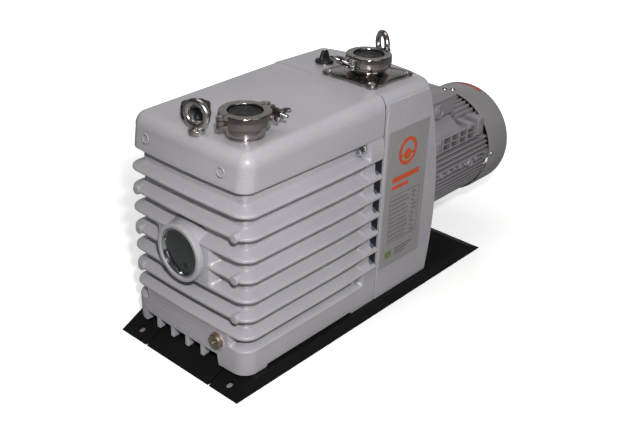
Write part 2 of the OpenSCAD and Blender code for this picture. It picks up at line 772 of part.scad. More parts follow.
// thin curved strip on top of the cowl
module rotation_arrow() color([0.75, 0.3, 0.2]) at_case() intersection() {
  shaft_ring(cowl_r + 0.6, cowl_r, 720, 732);
  block([-30, 34], [710, 740], [200, 290]);
}

module stator_core() color([0.35, 0.33, 0.33]) at_case()
  shaft_ring(inner_fit_r, 55.6, stator_front, stator_back);

module stator_windings() color([0.72, 0.38, 0.16]) at_case()
  for (y = [stator_front - 24, stator_back + 0.2]) shaft_ring(76, 59, y, y + 23.8);

module motor_bearings() color([0.7, 0.7, 0.72]) at_case()
  for (y = [rear_end + 7, frame_back - 9])
    shaft_ring(bearing_seat_r - 0.05, motor_shaft_r + 0.05, y, y + 10);

module motor_shaft() color(plain_steel) at_case() on_shaft(motor_shaft_r, 398, 726);

module motor_rotor() color([0.5, 0.48, 0.46]) at_case() difference() {
  union() {
    on_shaft(55, stator_front, stator_back);
    for (y = [stator_front - 14, stator_back - 1]) on_shaft(50, y, y + 15);
  }
  on_shaft(motor_shaft_r, 480, 640);
}

module cooling_fan() color([0.15, 0.15, 0.16]) at_case() difference() {
  union() {
    on_shaft(24, fan_y, fan_y + 28);
    on_shaft(84, fan_y, fan_y + 3);
    around_shaft(fan_y + 2, 45) block([20, 84], [0, 24], about(1.5));
  }
  on_shaft(motor_shaft_r, fan_y - 6, fan_y + 34);
}

// ---------------- coupling and shaft seal ----------------
spider_front = 368;
spider_back = 392;
hub_length = 24;
hub_r = 32;
jaw_reach = 13;        // how far the jaws reach into the spider
pump_stub_r = 12;      // pump shaft end in the coupling
journal_r = 14;        // pump shaft through plates and seal

module jaws(from, to, turn) along_y(from, to) translate([0, shaft_z])
  for (a = [0:120:359]) rotate(a + turn) intersection() {
    difference() {
      circle(31.4);
      circle(16.2);
    }
    // sector of 48 degrees
    polygon([[0, 0], [60, 0], [70 * cos(24), 70 * sin(24)], [60 * cos(48), 60 * sin(48)]]);
  }

module coupling_hubs() color([0.45, 0.46, 0.48]) at_case() {
  difference() {
    union() {
      on_shaft(hub_r, spider_front - hub_length, spider_front);
      jaws(spider_front - 1, spider_front + jaw_reach, 0);
    }
    on_shaft(pump_stub_r, 340, 370);
  }
  difference() {
    union() {
      on_shaft(hub_r, spider_back, spider_back + hub_length);
      jaws(spider_back - jaw_reach, spider_back + 1, 60);
    }
    on_shaft(motor_shaft_r, 398, 420);
  }
}

module coupling_spider() color([0.7, 0.15, 0.1]) at_case() difference() {
  union() {
    on_shaft(15.9, spider_front, spider_back);
    // legs between the jaws
    for (a = [0:60:359])
      translate([0, spider_back - 1, shaft_z]) rotate([90, 0, 0]) rotate(a + 49.5)
        rotate_extrude(angle = 9) translate([12, 0]) square([19.5, 22]);
  }
  on_shaft(10, 360, 400);
}

module shaft_seal() color([0.08, 0.08, 0.08]) at_case()
  shaft_ring(25.95, journal_r + 0.05, rear_y + 5, rear_y + 15);

// ---------------- pump stages ----------------
// The pump block sits against the rear housing's front wall, the high-vacuum stage rearmost.
plate_thick = 12;
bore_z = shaft_z - bore_offset;
hv_y = rear_y - hv_length;
middle_y = hv_y - plate_thick;
lv_y = middle_y - lv_length;
cover_y = lv_y - plate_thick;
rotor_r = bore_r - bore_offset - clearance;
vane_tip = rotor_r - 0.14;
vane_root = 6;
// front and rear ends of the vanes
hv_vane = [hv_y + 0.15, hv_y + hv_length - 1.2];
lv_vane = [lv_y + 0.15, lv_y + lv_length - 5.2];
spring_inset = 10;

module pump_rotor() color([0.6, 0.6, 0.62]) at_case() difference() {
  slot_z = about(vane_thick / 2 + clearance, shaft_z);
  union() {
    on_shaft(rotor_r, hv_y + 0.1, rear_y - 0.1);
    on_shaft(rotor_r, lv_y + 0.1, middle_y - 0.1);
    on_shaft(journal_r, cover_y + 3, 336);
    on_shaft(pump_stub_r, 330, 366);
  }
  // vane slots, open at the front of each rotor
  block(about(rotor_r + 1), [hv_y - 1, hv_y + hv_length - 1], slot_z);
  block(about(rotor_r + 1), [lv_y - 0.9, lv_y + lv_length - 4.9], slot_z);
}

module vane(side, ys) color(vane_brown) at_case() difference() {
  side_block(side, [vane_root, vane_tip], ys, about(vane_thick / 2, shaft_z));
  // blind holes for the springs
  for (y = [ys[0] + spring_inset, ys[1] - spring_inset])
    cyl_x(y, shaft_z, 2.3, side > 0 ? 0 : -16, side > 0 ? 16 : 0);
}
module hv_vane_a() vane(1, hv_vane);
module hv_vane_b() vane(-1, hv_vane);
module lv_vane_a() vane(1, lv_vane);
module lv_vane_b() vane(-1, lv_vane);

// each spring is a plain rod
module vane_springs() color([0.6, 0.6, 0.6]) at_case()
  for (ys = [hv_vane, lv_vane], y = [ys[0] + spring_inset, ys[1] - spring_inset])
    cyl_x(y, shaft_z, 2.2, -15.9, 15.9);

module stage_block(from, to)
  along_y(from, to) translate([0, bore_z]) round_rect(140, 132, 20);

module stage_cylinder(from, to) difference() {
  stage_block(from, to);
  cyl_y(0, bore_z, bore_r, from - 1, to + 1);
}
module hv_cylinder() color(block_iron) at_case() stage_cylinder(hv_y, rear_y);
module lv_cylinder() color(block_iron) at_case() stage_cylinder(lv_y, middle_y);

module stage_plate(from, to, hole_from) difference() {
  stage_block(from, to);
  on_shaft(journal_r + 0.05, hole_from, to + 1);
}
// middle plate, and the front cover with a blind shaft hole
module stage_plates() color([0.42, 0.42, 0.44]) at_case() {
  stage_plate(middle_y, hv_y, middle_y - 1);
  stage_plate(cover_y, lv_y, cover_y + 2);
}

// tube closed at its front end
module exhaust_filter() color([0.8, 0.78, 0.7]) at_case() difference() {
  cyl_y(40, 290, 26, 110, rear_y);
  cyl_y(40, 290, 17, 114, rear_y + 1);
}

base_plate();
oil_case();
case_gasket();
rear_housing();
housing_screws();
sight_glass_ring();
sight_glass();
sight_glass_seal();
drain_plug();
drain_washer();
oil_filler_cap();
filler_seal();
exhaust_nozzle();
intake_flange();
intake_flange_screws();
intake_screen();
port_seal_rings();
port_blank_plugs();
clamp_pins();
exhaust_clamp_left_half();
exhaust_clamp_right_half();
exhaust_clamp_bolt();
exhaust_wing_nut();
intake_clamp_left_half();
intake_clamp_right_half();
intake_clamp_bolt();
intake_wing_nut();
eye_bolts();
gas_ballast_knob();
gas_ballast_seat();
rating_label();
motor_frame();
motor_flange_shield();
motor_rear_shield();
terminal_box();
terminal_box_lid();
terminal_box_screws();
cable_plug();
fan_cowl();
cowl_screws();
rotation_arrow();
stator_core();
stator_windings();
motor_bearings();
motor_shaft();
motor_rotor();
cooling_fan();
coupling_hubs();
coupling_spider();
shaft_seal();
pump_rotor();
hv_vane_a();
hv_vane_b();
lv_vane_a();
lv_vane_b();
vane_springs();
hv_cylinder();
lv_cylinder();
stage_plates();
exhaust_filter();
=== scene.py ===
import math
import random

import bmesh
import bpy
from mathutils import Matrix, Vector

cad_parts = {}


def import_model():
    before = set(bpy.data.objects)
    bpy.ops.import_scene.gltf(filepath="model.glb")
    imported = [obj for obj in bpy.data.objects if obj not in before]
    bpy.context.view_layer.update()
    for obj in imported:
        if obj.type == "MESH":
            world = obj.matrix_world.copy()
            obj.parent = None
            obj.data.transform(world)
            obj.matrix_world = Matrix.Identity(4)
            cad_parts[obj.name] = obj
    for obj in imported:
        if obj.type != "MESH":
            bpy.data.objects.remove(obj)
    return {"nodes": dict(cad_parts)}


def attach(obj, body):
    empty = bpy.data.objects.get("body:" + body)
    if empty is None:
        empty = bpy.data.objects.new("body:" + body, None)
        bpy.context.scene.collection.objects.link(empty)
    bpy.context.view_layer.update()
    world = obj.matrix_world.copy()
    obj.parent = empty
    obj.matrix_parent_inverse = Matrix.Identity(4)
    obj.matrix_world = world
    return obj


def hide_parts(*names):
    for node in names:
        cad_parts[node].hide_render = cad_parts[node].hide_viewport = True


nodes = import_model()["nodes"]
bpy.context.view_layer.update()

MM = 0.001
CASE_FRONT_Y = -361.0       # scene y of the case front
MERGE_DISTANCE = 0.0005
SIDES = (-1, 1)

# Oil case
CASE_HALF = 125.0           # half width
CORNER_R = 24.0             # front corners, in plan
BOW_R = 2000.0              # bow of the front face
CASE_BACK = 304.0
CASE_TOP = 384.0
TOP_FALL = 12.0             # fall of the top from back to front
CAP_Z = 319.0               # lower edge of the cap above the fins
CAP_INSET = 4.0
CAP_ROUND_OUT, CAP_ROUND_UP = 18.6, 25.0
SKIRT_Z = 62.0
GROOVE_INSET = 18.0
FIN_Z = [CAP_Z - 35.0 * k + 0.27 * k * k for k in range(8)]     # fins 1 to 7, from the top
FOOT_Z, FOOT_BOX_Z = 24.0, 24.05
SIGHT_Z = 192.0
DRAIN_X, DRAIN_Z = 68, 68

# Rear housing and its rating plate
HOUSING_BEND = 400.0        # behind this y the housing follows its arched rear edge
HOUSING_TAIL = 36.0
PLATE_X = 125.7             # face of the rating plate
EMBLEM_Y = 366.0

# Ports, eyes and controls
NECK_H = 28.0
BALLAST = (-50.0, 357.0)
WING_DEGREES = 25.0

# Motor
MOTOR_Z = 171.0
FIN_PITCH = 8.6
FIN_R = 96.8
BARREL_R = 80.0
TERMINAL_Y, TERMINAL_PORT_Z = 553, 276
COWL_R, COWL_END = 101.0, 743.0


# ---------------------------------------------------------------- plane geometry
def to_world(x, y, z):
    return Vector((x * MM, (y + CASE_FRONT_Y) * MM, z * MM))


def polar(radius, degrees, x=0.0, y=0.0):
    angle = math.radians(degrees)
    return x + radius * math.cos(angle), y + radius * math.sin(angle)


def rotate(x, y, degrees):
    cos, sin = math.cos(math.radians(degrees)), math.sin(math.radians(degrees))
    return x * cos - y * sin, x * sin + y * cos


def arc(x, y, radius, start, end, steps):
    return [polar(radius, start + (end - start) * i / steps, x, y) for i in range(steps + 1)]


def round_rect(width, height, radius, steps, x=0.0, y=0.0):
    dx, dy = width / 2 - radius, height / 2 - radius
    points = []
    for i, (cx, cy) in enumerate(((dx, dy), (-dx, dy), (-dx, -dy), (dx, -dy))):
        points += arc(x + cx, y + cy, radius, 90 * i, 90 * i + 90, steps)
    return points


def round_profile(profile, radius, steps):
    """Rounds the corners of an open profile."""
    out = [profile[0]]
    for before, corner, after in zip(profile, profile[1:], profile[2:]):
        middle = Vector(corner)
        back, ahead = Vector(before) - middle, Vector(after) - middle
        cut = min(radius, back.length * 0.45, ahead.length * 0.45)
        straight = abs(back.normalized().dot(ahead.normalized())) > 0.9995
        if cut < 1e-6 or straight:
            out.append(corner)
            continue
        start, end = middle + back.normalized() * cut, middle + ahead.normalized() * cut
        for i in range(steps + 1):
            t = i / steps
            out.append(tuple((1 - t) ** 2 * start + 2 * t * (1 - t) * middle + t * t * end))
    out.append(profile[-1])
    return out


def smoothstep(start, end, value):
    t = max(0.0, min(1.0, (value - start) / (end - start)))
    return t * t * (3 - 2 * t)


# Placings: each gives a function put(x, y, z) from local to case coordinates, where the
# local z is the axis of turning or extrusion and (x0, y0, z0) is the local origin.
def along_x(x0=0.0, y0=0.0, z0=0.0):
    return lambda x, y, z: (x0 + z, y0 + x, z0 + y)


def along_y(x0=0.0, y0=0.0, z0=0.0):
    return lambda x, y, z: (x0 + x, y0 + z, z0 + y)


def along_z(x0=0.0, y0=0.0, z0=0.0):
    return lambda x, y, z: (x0 + x, y0 + y, z0 + z)


def turned_z(x0, y0, z0, degrees):
    def put(x, y, z):
        dx, dy = rotate(x, y, degrees)
        return x0 + dx, y0 + dy, z0 + z
    return put


def towards_front(x0, y0, z0):
    return lambda x, y, z: (x0 + x, y0 - z, z0 + y)


def shifted(put, x0, y0):
    return lambda x, y, z: put(x0 + x, y0 + y, z)


# ---------------------------------------------------------------- mesh building
def weighted_normals(ob):
    modifier = ob.modifiers.new("wn", "WEIGHTED_NORMAL")
    modifier.keep_sharp = True
    return modifier


class Part:
    """A mesh built in case millimetres and finished as an object riding on a body."""

    def __init__(self):
        self.bm = bmesh.new()

    def ring(self, points):
        return [self.bm.verts.new(p) for p in points]

    def bridge(self, first, second):
        """Joins two closed rings of equal length."""
        count = len(first)
        for i in range(count):
            j = (i + 1) % count
            self.bm.faces.new((first[i], first[j], second[j], second[i]))

    def box(self, x0, x1, y0, y1, z0, z1, put=along_z()):
        corners = self.ring(put(x, y, z) for z in (z0, z1)
                            for x, y in ((x0, y0), (x1, y0), (x1, y1), (x0, y1)))
        for face in ((0, 1, 2, 3), (7, 6, 5, 4), (0, 4, 5, 1),
                     (1, 5, 6, 2), (2, 6, 7, 3), (3, 7, 4, 0)):
            self.bm.faces.new([corners[i] for i in face])
        return self

    def prism(self, outline, low, high, put):
        """A closed outline (x, y) extruded from low to high."""
        bottom = self.ring(put(x, y, low) for x, y in outline)
        top = self.ring(put(x, y, high) for x, y in outline)
        self.bm.faces.new(bottom[::-1])
        self.bm.faces.new(top)
        self.bridge(bottom, top)
        return self

    def loft(self, rings):
        """Joins closed rings of equal length and closes both ends."""
        rings = [self.ring(points) for points in rings]
        for first, second in zip(rings, rings[1:]):
            self.bridge(first, second)
        self.bm.faces.new(rings[0][::-1])
        self.bm.faces.new(rings[-1])
        return self

    def turn(self, profile, put, segments, rounding=0.0, steps=3):
        """A profile (radius, z) turned about local z; radius 0 closes it to a point."""
        if rounding:
            profile = round_profile(profile, rounding, steps)
        rings = []
        for radius, z in profile:
            if radius < 1e-6:
                rings.append(self.ring([put(0, 0, z)]))
            else:
                circle = [polar(radius, 360.0 * i / segments) for i in range(segments)]
                rings.append(self.ring(put(x, y, z) for x, y in circle))
        for first, second in zip(rings, rings[1:]):
            if len(first) > 1 and len(second) > 1:
                self.bridge(first, second)
                continue
            for i in range(segments):
                j = (i + 1) % segments
                if len(first) == 1:
                    self.bm.faces.new((first[0], second[j], second[i]))
                else:
                    self.bm.faces.new((first[i], first[j], second[0]))
        return self

    def arc_solid(self, section, put, start, end, segments=64):
        """A closed section (radius, z) turned through an arc, with closed ends."""
        rings = []
        for i in range(segments + 1):
            angle = start + (end - start) * i / segments
            rings.append([put(*polar(radius, angle), z) for radius, z in section])
        return self.loft(rings)

    def finish(self, name, materials, slot, body="frame", replaces=None, smooth=32.0,
               bevel=0.0, bevel_segments=2, bevel_angle=34.0, weighted=True):
        """Makes the object; angles in degrees, bevel in millimetres."""
        bm = self.bm
        bmesh.ops.remove_doubles(bm, verts=bm.verts, dist=MERGE_DISTANCE)
        bmesh.ops.recalc_face_normals(bm, faces=bm.faces)
        for vert in bm.verts:
            vert.co = to_world(*vert.co)
        mesh = bpy.data.meshes.new(name)
        bm.to_mesh(mesh)
        bm.free()
        ob = bpy.data.objects.new(name, mesh)
        bpy.context.scene.collection.objects.link(ob)
        for material in materials if isinstance(materials, tuple) else (materials,):
            mesh.materials.append(material)
        if bevel > 0:
            edge = ob.modifiers.new("edge", "BEVEL")
            edge.width = bevel * MM
            edge.segments = bevel_segments
            edge.limit_method = "ANGLE"
            edge.angle_limit = math.radians(bevel_angle)
            edge.miter_outer = "MITER_ARC"
        for polygon in mesh.polygons:
            polygon.use_smooth = True
        mesh.set_sharp_from_angle(angle=math.radians(smooth))
        if weighted and bevel > 0:
            weighted_normals(ob)
        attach(ob, body)
        if replaces:
            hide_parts(replaces)
        return ob


# ---------------------------------------------------------------- shader building
class Nodes:
    """Adds nodes to a tree; a value may be a number, a colour tuple or an output."""

    def __init__(self, tree):
        self.tree = tree

    def node(self, kind):
        return self.tree.nodes.new(kind)

    def link(self, output, socket):
        self.tree.links.new(output, socket)

    def feed(self, socket, value):
        if isinstance(value, (int, float)):
            socket.default_value = value
        elif isinstance(value, tuple):
            socket.default_value = (*value, 1.0)
        else:
            self.link(value, socket)

    def ramp(self, fac, stops):
        """Colour ramp; stops are (position, grey level or colour)."""
        node = self.node("ShaderNodeValToRGB")
        elements = node.color_ramp.elements
        elements.remove(elements[-1])
        for i, (position, colour) in enumerate(stops):
            element = elements.new(position) if i else elements[0]
            element.position = position
            if not isinstance(colour, tuple):
                colour = (colour, colour, colour)
            element.color = (*colour, 1.0)
        self.link(fac, node.inputs["Fac"])
        return node.outputs["Color"]

    def fade(self, fac, low, high, start=0.3, stop=0.7):
        return self.ramp(fac, [(start, low), (stop, high)])

    def mix(self, fac, a, b, blend="MIX"):
        node = self.node("ShaderNodeMix")
        node.data_type = "RGBA"
        node.blend_type = blend
        self.feed(node.inputs["Factor"], fac)
        self.feed(node.inputs[6], a)
        self.feed(node.inputs[7], b)
        return node.outputs[2]

    def math(self, operation, a, b=0.0):
        node = self.node("ShaderNodeMath")
        node.operation = operation
        self.feed(node.inputs[0], a)
        self.feed(node.inputs[1], b)
        return node.outputs[0]


class Look(Nodes):
    """A procedural material around one Principled shader."""

    INPUTS = {"color": "Base Color", "rough": "Roughness", "metal": "Metallic",
              "coat": "Coat Weight", "coat_rough": "Coat Roughness",
              "spec": "Specular IOR Level", "trans": "Transmission Weight", "ior": "IOR",
              "emission": "Emission Color", "glow": "Emission Strength"}

    def __init__(self, name):
        self.material = bpy.data.materials.new(name)
        self.material.use_nodes = True
        super().__init__(self.material.node_tree)
        self.shader = self.tree.nodes["Principled BSDF"]
        self.coords = self.node("ShaderNodeTexCoord").outputs["Object"]
        self.normal = None

    def set(self, **values):
        for key, value in values.items():
            self.feed(self.shader.inputs[self.INPUTS[key]], value)

    def noise(self, scale, detail=4.0, rough=0.55, stretch=None):
        node = self.node("ShaderNodeTexNoise")
        node.inputs["Scale"].default_value = scale
        node.inputs["Detail"].default_value = detail
        node.inputs["Roughness"].default_value = rough
        coords = self.coords
        if stretch:
            mapping = self.node("ShaderNodeMapping")
            mapping.inputs["Scale"].default_value = stretch
            self.link(coords, mapping.inputs["Vector"])
            coords = mapping.outputs["Vector"]
        self.link(coords, node.inputs["Vector"])
        return node.outputs["Fac"]

    def bump(self, height, distance, strength):
        """Adds relief on top of the earlier bumps."""
        node = self.node("ShaderNodeBump")
        node.inputs["Strength"].default_value = strength
        node.inputs["Distance"].default_value = distance
        self.link(height, node.inputs["Height"])
        if self.normal is not None:
            self.link(self.normal, node.inputs["Normal"])
        self.normal = node.outputs["Normal"]
        self.link(self.normal, self.shader.inputs["Normal"])


def shade(colour, factor, add=0.0):
    return tuple(min(1.0, c * factor + add) for c in colour)


def paint(name, base, rough, cast, corner_shade, coat, var=0.05, dust=0.0, edge=0.06, spec=0.5):
    """Sprayed paint: orange peel, changes of tone, painted shade in the corners, lighter colour
    on sharp edges.

    cast is the strength of the casting relief under the paint, dust the cover on top faces.
    """
    m = Look(name)
    colour = m.fade(m.noise(scale=9.0, detail=3.0), low=shade(base, 1 - var),
                    high=shade(base, 1 + var))
    fine = m.fade(m.noise(scale=420.0, detail=2.0), low=0.94, high=1.04, start=0.35, stop=0.65)
    colour = m.mix(1.0, colour, fine, "MULTIPLY")
    # painted shade: the colour darkens by the given depth where ambient occlusion finds surfaces
    # within 22 mm, in corners, grooves and under the fin lips
    corners = m.node("ShaderNodeAmbientOcclusion")
    corners.samples = 4
    corners.inputs["Distance"].default_value = 0.022
    painted_corner_shade = m.fade(corners.outputs["AO"], low=1.0 - corner_shade, high=1.0, start=0.15, stop=0.75)
    colour = m.mix(1.0, colour, painted_corner_shade, "MULTIPLY")
    geometry = m.node("ShaderNodeNewGeometry")
    # lighter colour on sharp edges, found by pointiness
    sharp_edge_lightening = m.fade(geometry.outputs["Pointiness"], low=0.0, high=edge, start=0.52, stop=0.62)
    colour = m.mix(sharp_edge_lightening, colour, shade(base, factor=1.5, add=0.1))
    spots = m.fade(m.noise(scale=70.0, detail=6.0, rough=0.75), low=0.0, high=0.28,
                   start=0.70, stop=0.76)
    colour = m.mix(spots, colour, shade(base, factor=0.72))
    if dust:
        normal = m.node("ShaderNodeSeparateXYZ")
        m.link(geometry.outputs["Normal"], normal.inputs[0])
        up = m.fade(normal.outputs["Z"], low=0.0, high=1.0, start=0.5, stop=1.0)
        patches = m.fade(m.noise(scale=35.0, detail=5.0, rough=0.7), low=dust, high=0.0,
                         start=0.35, stop=0.75)
        dust_colour = (0.42, 0.40, 0.38)
        colour = m.mix(m.math("MULTIPLY", up, patches), colour, dust_colour)
    m.set(color=colour, coat=coat, coat_rough=0.18, spec=spec)
    m.set(rough=m.fade(m.noise(scale=26.0, detail=5.0, rough=0.7),
                       low=max(0.05, rough - 0.06), high=rough + 0.09))
    m.bump(m.noise(scale=900.0, detail=1.5), distance=0.00009, strength=0.55)
    if cast:
        m.bump(m.noise(scale=190.0, detail=3.0, rough=0.6), distance=0.0005 * cast,
               strength=0.5)
        m.bump(m.noise(scale=28.0, detail=2.0), distance=0.0018 * cast, strength=0.22)
    return m.material


def metal(name, base, rough, turned=None, smudge=0.12, cast=0.0):
    """Bare or plated metal; turned is the axis (0 to 2) crossed by fine turning marks."""
    m = Look(name)
    colour = m.fade(m.noise(scale=55.0, detail=4.0, rough=0.6),
                    low=shade(base, factor=0.88), high=shade(base, factor=1.12))
    stain = m.fade(m.noise(scale=160.0, detail=6.0, rough=0.75), low=0.0, high=0.35,
                   start=0.60, stop=0.74)
    m.set(color=m.mix(stain, colour, shade(base, factor=0.55)), metal=1.0)
    m.set(rough=m.fade(m.noise(scale=75.0, detail=6.0, rough=0.7),
                       low=max(0.03, rough - smudge * 0.5), high=rough + smudge, stop=0.72))
    if turned is not None:
        stretch = tuple(2600.0 if i == turned else 30.0 for i in range(3))
        m.bump(m.noise(scale=1.0, detail=2.0, rough=0.6, stretch=stretch),
               distance=0.00004, strength=0.45)
    m.bump(m.noise(scale=1.0, detail=2.0, rough=0.7, stretch=(2200.0, 90.0, 300.0)),
           distance=0.00002, strength=0.24)
    if cast:
        m.bump(m.noise(scale=420.0, detail=3.0, rough=0.6), distance=0.0003 * cast,
               strength=0.5)
    return m.material


def plastic(name, base, rough=0.45, grain=1.0):
    m = Look(name)
    colour = m.fade(m.noise(scale=40.0), low=shade(base, factor=0.75),
                    high=shade(base, factor=1.25))
    dust = m.fade(m.noise(scale=240.0, detail=5.0, rough=0.8), low=0.0, high=0.25,
                  start=0.55, stop=0.8)
    m.set(color=m.mix(dust, colour, shade(base, factor=1.0, add=0.10)))
    m.set(rough=m.fade(m.noise(scale=90.0, rough=0.7), low=rough - 0.08, high=rough + 0.12))
    m.bump(m.noise(scale=1100.0, detail=2.0), distance=0.00012 * grain, strength=0.6)
    m.bump(m.noise(scale=60.0, detail=2.0), distance=0.0006 * grain, strength=0.12)
    return m.material


def ink(name, base):
    m = Look(name)
    m.set(color=m.fade(m.noise(scale=180.0), low=shade(base, factor=0.86),
                       high=shade(base, factor=1.1)))
    m.set(rough=m.fade(m.noise(scale=90.0, detail=3.0), low=0.39, high=0.51))
    m.bump(m.noise(scale=800.0, detail=2.0), distance=0.00004, strength=0.5)
    return m.material


def clear_glass():
    m = Look("clear_glass")
    m.set(color=(0.80, 0.86, 0.84), rough=0.03, trans=1.0, ior=1.45)
    m.bump(m.noise(scale=60.0, detail=2.0), distance=0.0002, strength=0.15)
    return m.material


def gauge_plate():
    m = Look("gauge_plate")
    m.set(color=m.fade(m.noise(scale=26.0), low=(0.050, 0.068, 0.074),
                       high=(0.078, 0.098, 0.106)), rough=0.3, coat=0.6)
    m.bump(m.noise(scale=300.0, detail=3.0), distance=0.0002, strength=0.4)
    return m.material


def label_film():
    m = Look("label_film")
    colour = m.fade(m.noise(scale=14.0, detail=3.0), low=(0.275, 0.268, 0.270),
                    high=(0.315, 0.307, 0.308))
    flecks = m.fade(m.noise(scale=900.0, detail=2.0), low=0.0, high=0.12, start=0.4, stop=0.6)
    fleck_colour = (0.40, 0.392, 0.395)
    m.set(color=m.mix(flecks, colour, fleck_colour), metal=0.05, coat=0.35, coat_rough=0.25)
    m.set(rough=m.fade(m.noise(scale=40.0), low=0.36, high=0.5))
    m.bump(m.noise(scale=30.0, detail=2.0), distance=0.0006, strength=0.15)
    m.bump(m.noise(scale=1200.0, detail=2.0), distance=0.00005, strength=0.5)
    return m.material


CASING_GREY = (0.410, 0.402, 0.436)
PAINT = paint("casing_paint", CASING_GREY, rough=0.40, cast=0.35, corner_shade=0.42, coat=0.35)
PAINT_REAR = paint("rear_housing_paint", CASING_GREY, rough=0.40, cast=0.25, corner_shade=0.35,
                   coat=0.35)
MOTOR = paint("motor_paint", (0.235, 0.224, 0.240), rough=0.44, cast=0.6, corner_shade=0.5,
              coat=0.2, edge=0.25)
COWL = paint("cowl_paint", (0.270, 0.256, 0.268), rough=0.36, cast=0.0, corner_shade=0.3, coat=0.35)
BASE = paint("base_satin_black", (0.0038, 0.0034, 0.0034), rough=0.46, cast=0.0, corner_shade=0.3,
             coat=0.03, var=0.2, dust=0.008, edge=0.02, spec=0.16)
NICKEL = metal("polished_nickel", (0.44, 0.41, 0.395), rough=0.13, turned=2, smudge=0.08)
NICKEL_CAST = metal("cast_nickel", (0.42, 0.39, 0.375), rough=0.15, cast=0.16, smudge=0.10)
ZINC = metal("bright_zinc", (0.66, 0.68, 0.71), rough=0.22)
STEEL = metal("machined_steel", (0.50, 0.50, 0.51), rough=0.28, turned=1)
IRON = metal("machined_iron", (0.26, 0.26, 0.27), rough=0.38, cast=0.5)
COPPER = metal("enamelled_copper", (0.62, 0.27, 0.10), rough=0.32, turned=1)
EYE = metal("satin_forged_nickel", (0.60, 0.575, 0.555), rough=0.24, cast=0.12, smudge=0.10)
PLUG = metal("dull_brass", (0.42, 0.355, 0.28), rough=0.42, turned=1)
CHROME = metal("bright_chrome", (0.66, 0.68, 0.72), rough=0.09, smudge=0.06)
RUBBER = plastic("seal_rubber", (0.018, 0.018, 0.019), rough=0.6, grain=0.8)
BLACK = plastic("black_plastic", (0.011, 0.011, 0.012), rough=0.38, grain=1.2)
# painted shade: blue-black colour for the shadowed slots at the back ends of the fin grooves
SLOT_SHADE = plastic("slot_painted_shade", (0.125, 0.145, 0.225), rough=0.5)
RED = plastic("coupling_red", (0.42, 0.04, 0.03), rough=0.5)
VANE = plastic("vane_fibre", (0.10, 0.07, 0.045), rough=0.55)
FILTER = plastic("filter_paper", (0.62, 0.58, 0.48), rough=0.85)
GLASS = clear_glass()
GAUGE = gauge_plate()
LABEL = label_film()
ORANGE = ink("ink_orange", (0.60, 0.085, 0.022))
INK = ink("ink_dark", (0.035, 0.042, 0.040))
ARROW = ink("arrow_red_orange", (0.46, 0.105, 0.065))
GREEN = ink("ink_green", (0.10, 0.20, 0.035))
TICK = ink("gauge_lines", (0.055, 0.085, 0.075))
WHITE = ink("ink_white", (0.62, 0.62, 0.60))


# ---------------------------------------------------------------- oil case shell
# The shell is a grid. Its columns stand at stations (kind, value) in plan, from the back of
# the right side round the front to the back of the left side; its rows are (inset, z, groove).
# Groove 1 lies under the cap, grooves 2 to 7 above fins 2 to 7, groove 8 above the skirt.
SIDE_Y = ([304, 303.2, 294.6, 293.8, 293.0, 273.0, 271.8, 269.5, 266.5, 265.0, 262, 256,
           246.5, 245.2, 240]
          + [240 - 12 * i for i in range(1, 16)] + [50, 46.2, 45.0, 40, 34, 29])
FRONT_X = [97, 95, 93.5, 92, 90.5, 88, 86, 82, 78, 74, 71, 69.8, 66, 63.5, 62, 60, 57, 54.5,
           52, 48, 44, 40, 36, 30, 24, 18, 12, 6]
GROOVE_ROWS = ((6.0, 7.2), (12.0, 9.6), (16.2, 11.6), (17.6, 13.0),
               (GROOVE_INSET, 15.5))                            # inset, height above the fin


def bow(x):
    return x * x / (2 * BOW_R)


def top_at(y):
    return CASE_TOP - (CASE_BACK - y) * TOP_FALL / CASE_BACK


def case_place(x, y, z):
    """Adds the bulge of the sides, the bow of the front, the cap's lean and its sloping top."""
    if z < CAP_Z:
        bulge = 0.030 * (1 - ((z - 160.0) / 160.0) ** 2)
        x *= 1 + bulge * (1 - 0.75 * smoothstep(180, 296, y))
    bowed = y + bow(x) * (1 - smoothstep(24, 150, y))
    if z > CAP_Z:
        bowed += 2.6 * min(1.6, (z - CAP_Z) / 23) * (1 - smoothstep(20, 110, y))
        z = CAP_Z + (z - CAP_Z) * (top_at(bowed) - CAP_Z) / (CASE_TOP - CAP_Z)
    return x, bowed, z


def case_stations():
    corner = [90.0 * i / 14 for i in range(15)]
    stations = [("right", y) for y in SIDE_Y]
    stations += [("corner", angle) for angle in corner]
    stations += [("front", x) for x in FRONT_X]
    stations.append(("front", 0))
    stations += [("front", -x) for x in FRONT_X[::-1]]
    # The left corner starts just past 90 degrees, which tells it from the right one.
    stations += [("corner", max(90.001, 180.0 - angle)) for angle in corner[::-1]]
    stations += [("left", y) for y in SIDE_Y[::-1]]
    return stations


def plan_point(station, inset):
    kind, value = station
    if kind == "right":
        return CASE_HALF - inset, value
    if kind == "left":
        return -(CASE_HALF - inset), value
    if kind == "front":
        return value, inset
    side = 1 if value <= 90 else -1
    dx, dy = polar(CORNER_R - min(inset, CORNER_R - 0.6), value)
    return side * (CASE_HALF - CORNER_R) + dx, CORNER_R - dy


def groove_depth(groove, station):
    """1 for the full depth, 0 for flush."""
    kind, value = station
    if kind in ("right", "left"):
        if groove in (1, 8):
            return 1 - smoothstep(266.0, 272.0, value)
        if value > 293.5:
            return 1.0
        return 1.0 - 0.52 * smoothstep(271.0, 273.5, value)
    if kind == "front":
        if groove == 8:
            return smoothstep(89.0, 93.0, abs(value))
        if groove in (4, 5):
            return smoothstep(51.0, 61.0, abs(value))
    return 1.0


def bottom_at(station):
    """Lower edge of the shell: it rises between the feet."""
    kind, value = station
    if kind in ("right", "left"):
        return FOOT_Z if (value < 45.6 or value > 246) else 28.5
    if kind == "front":
        return FOOT_Z if (value > 69 or value < -95.5) else 42.0
    return FOOT_Z


def underside(station, edge, z, groove, lip_inset, lip_drop):
    depth = groove_depth(groove, station)
    return [(edge + (GROOVE_INSET - edge) * depth, z - 1.5, groove),
            (edge + (GROOVE_INSET - 1.5 - edge) * depth, z + 0.6, groove),
            (edge + lip_inset * depth, z - lip_drop, groove)]


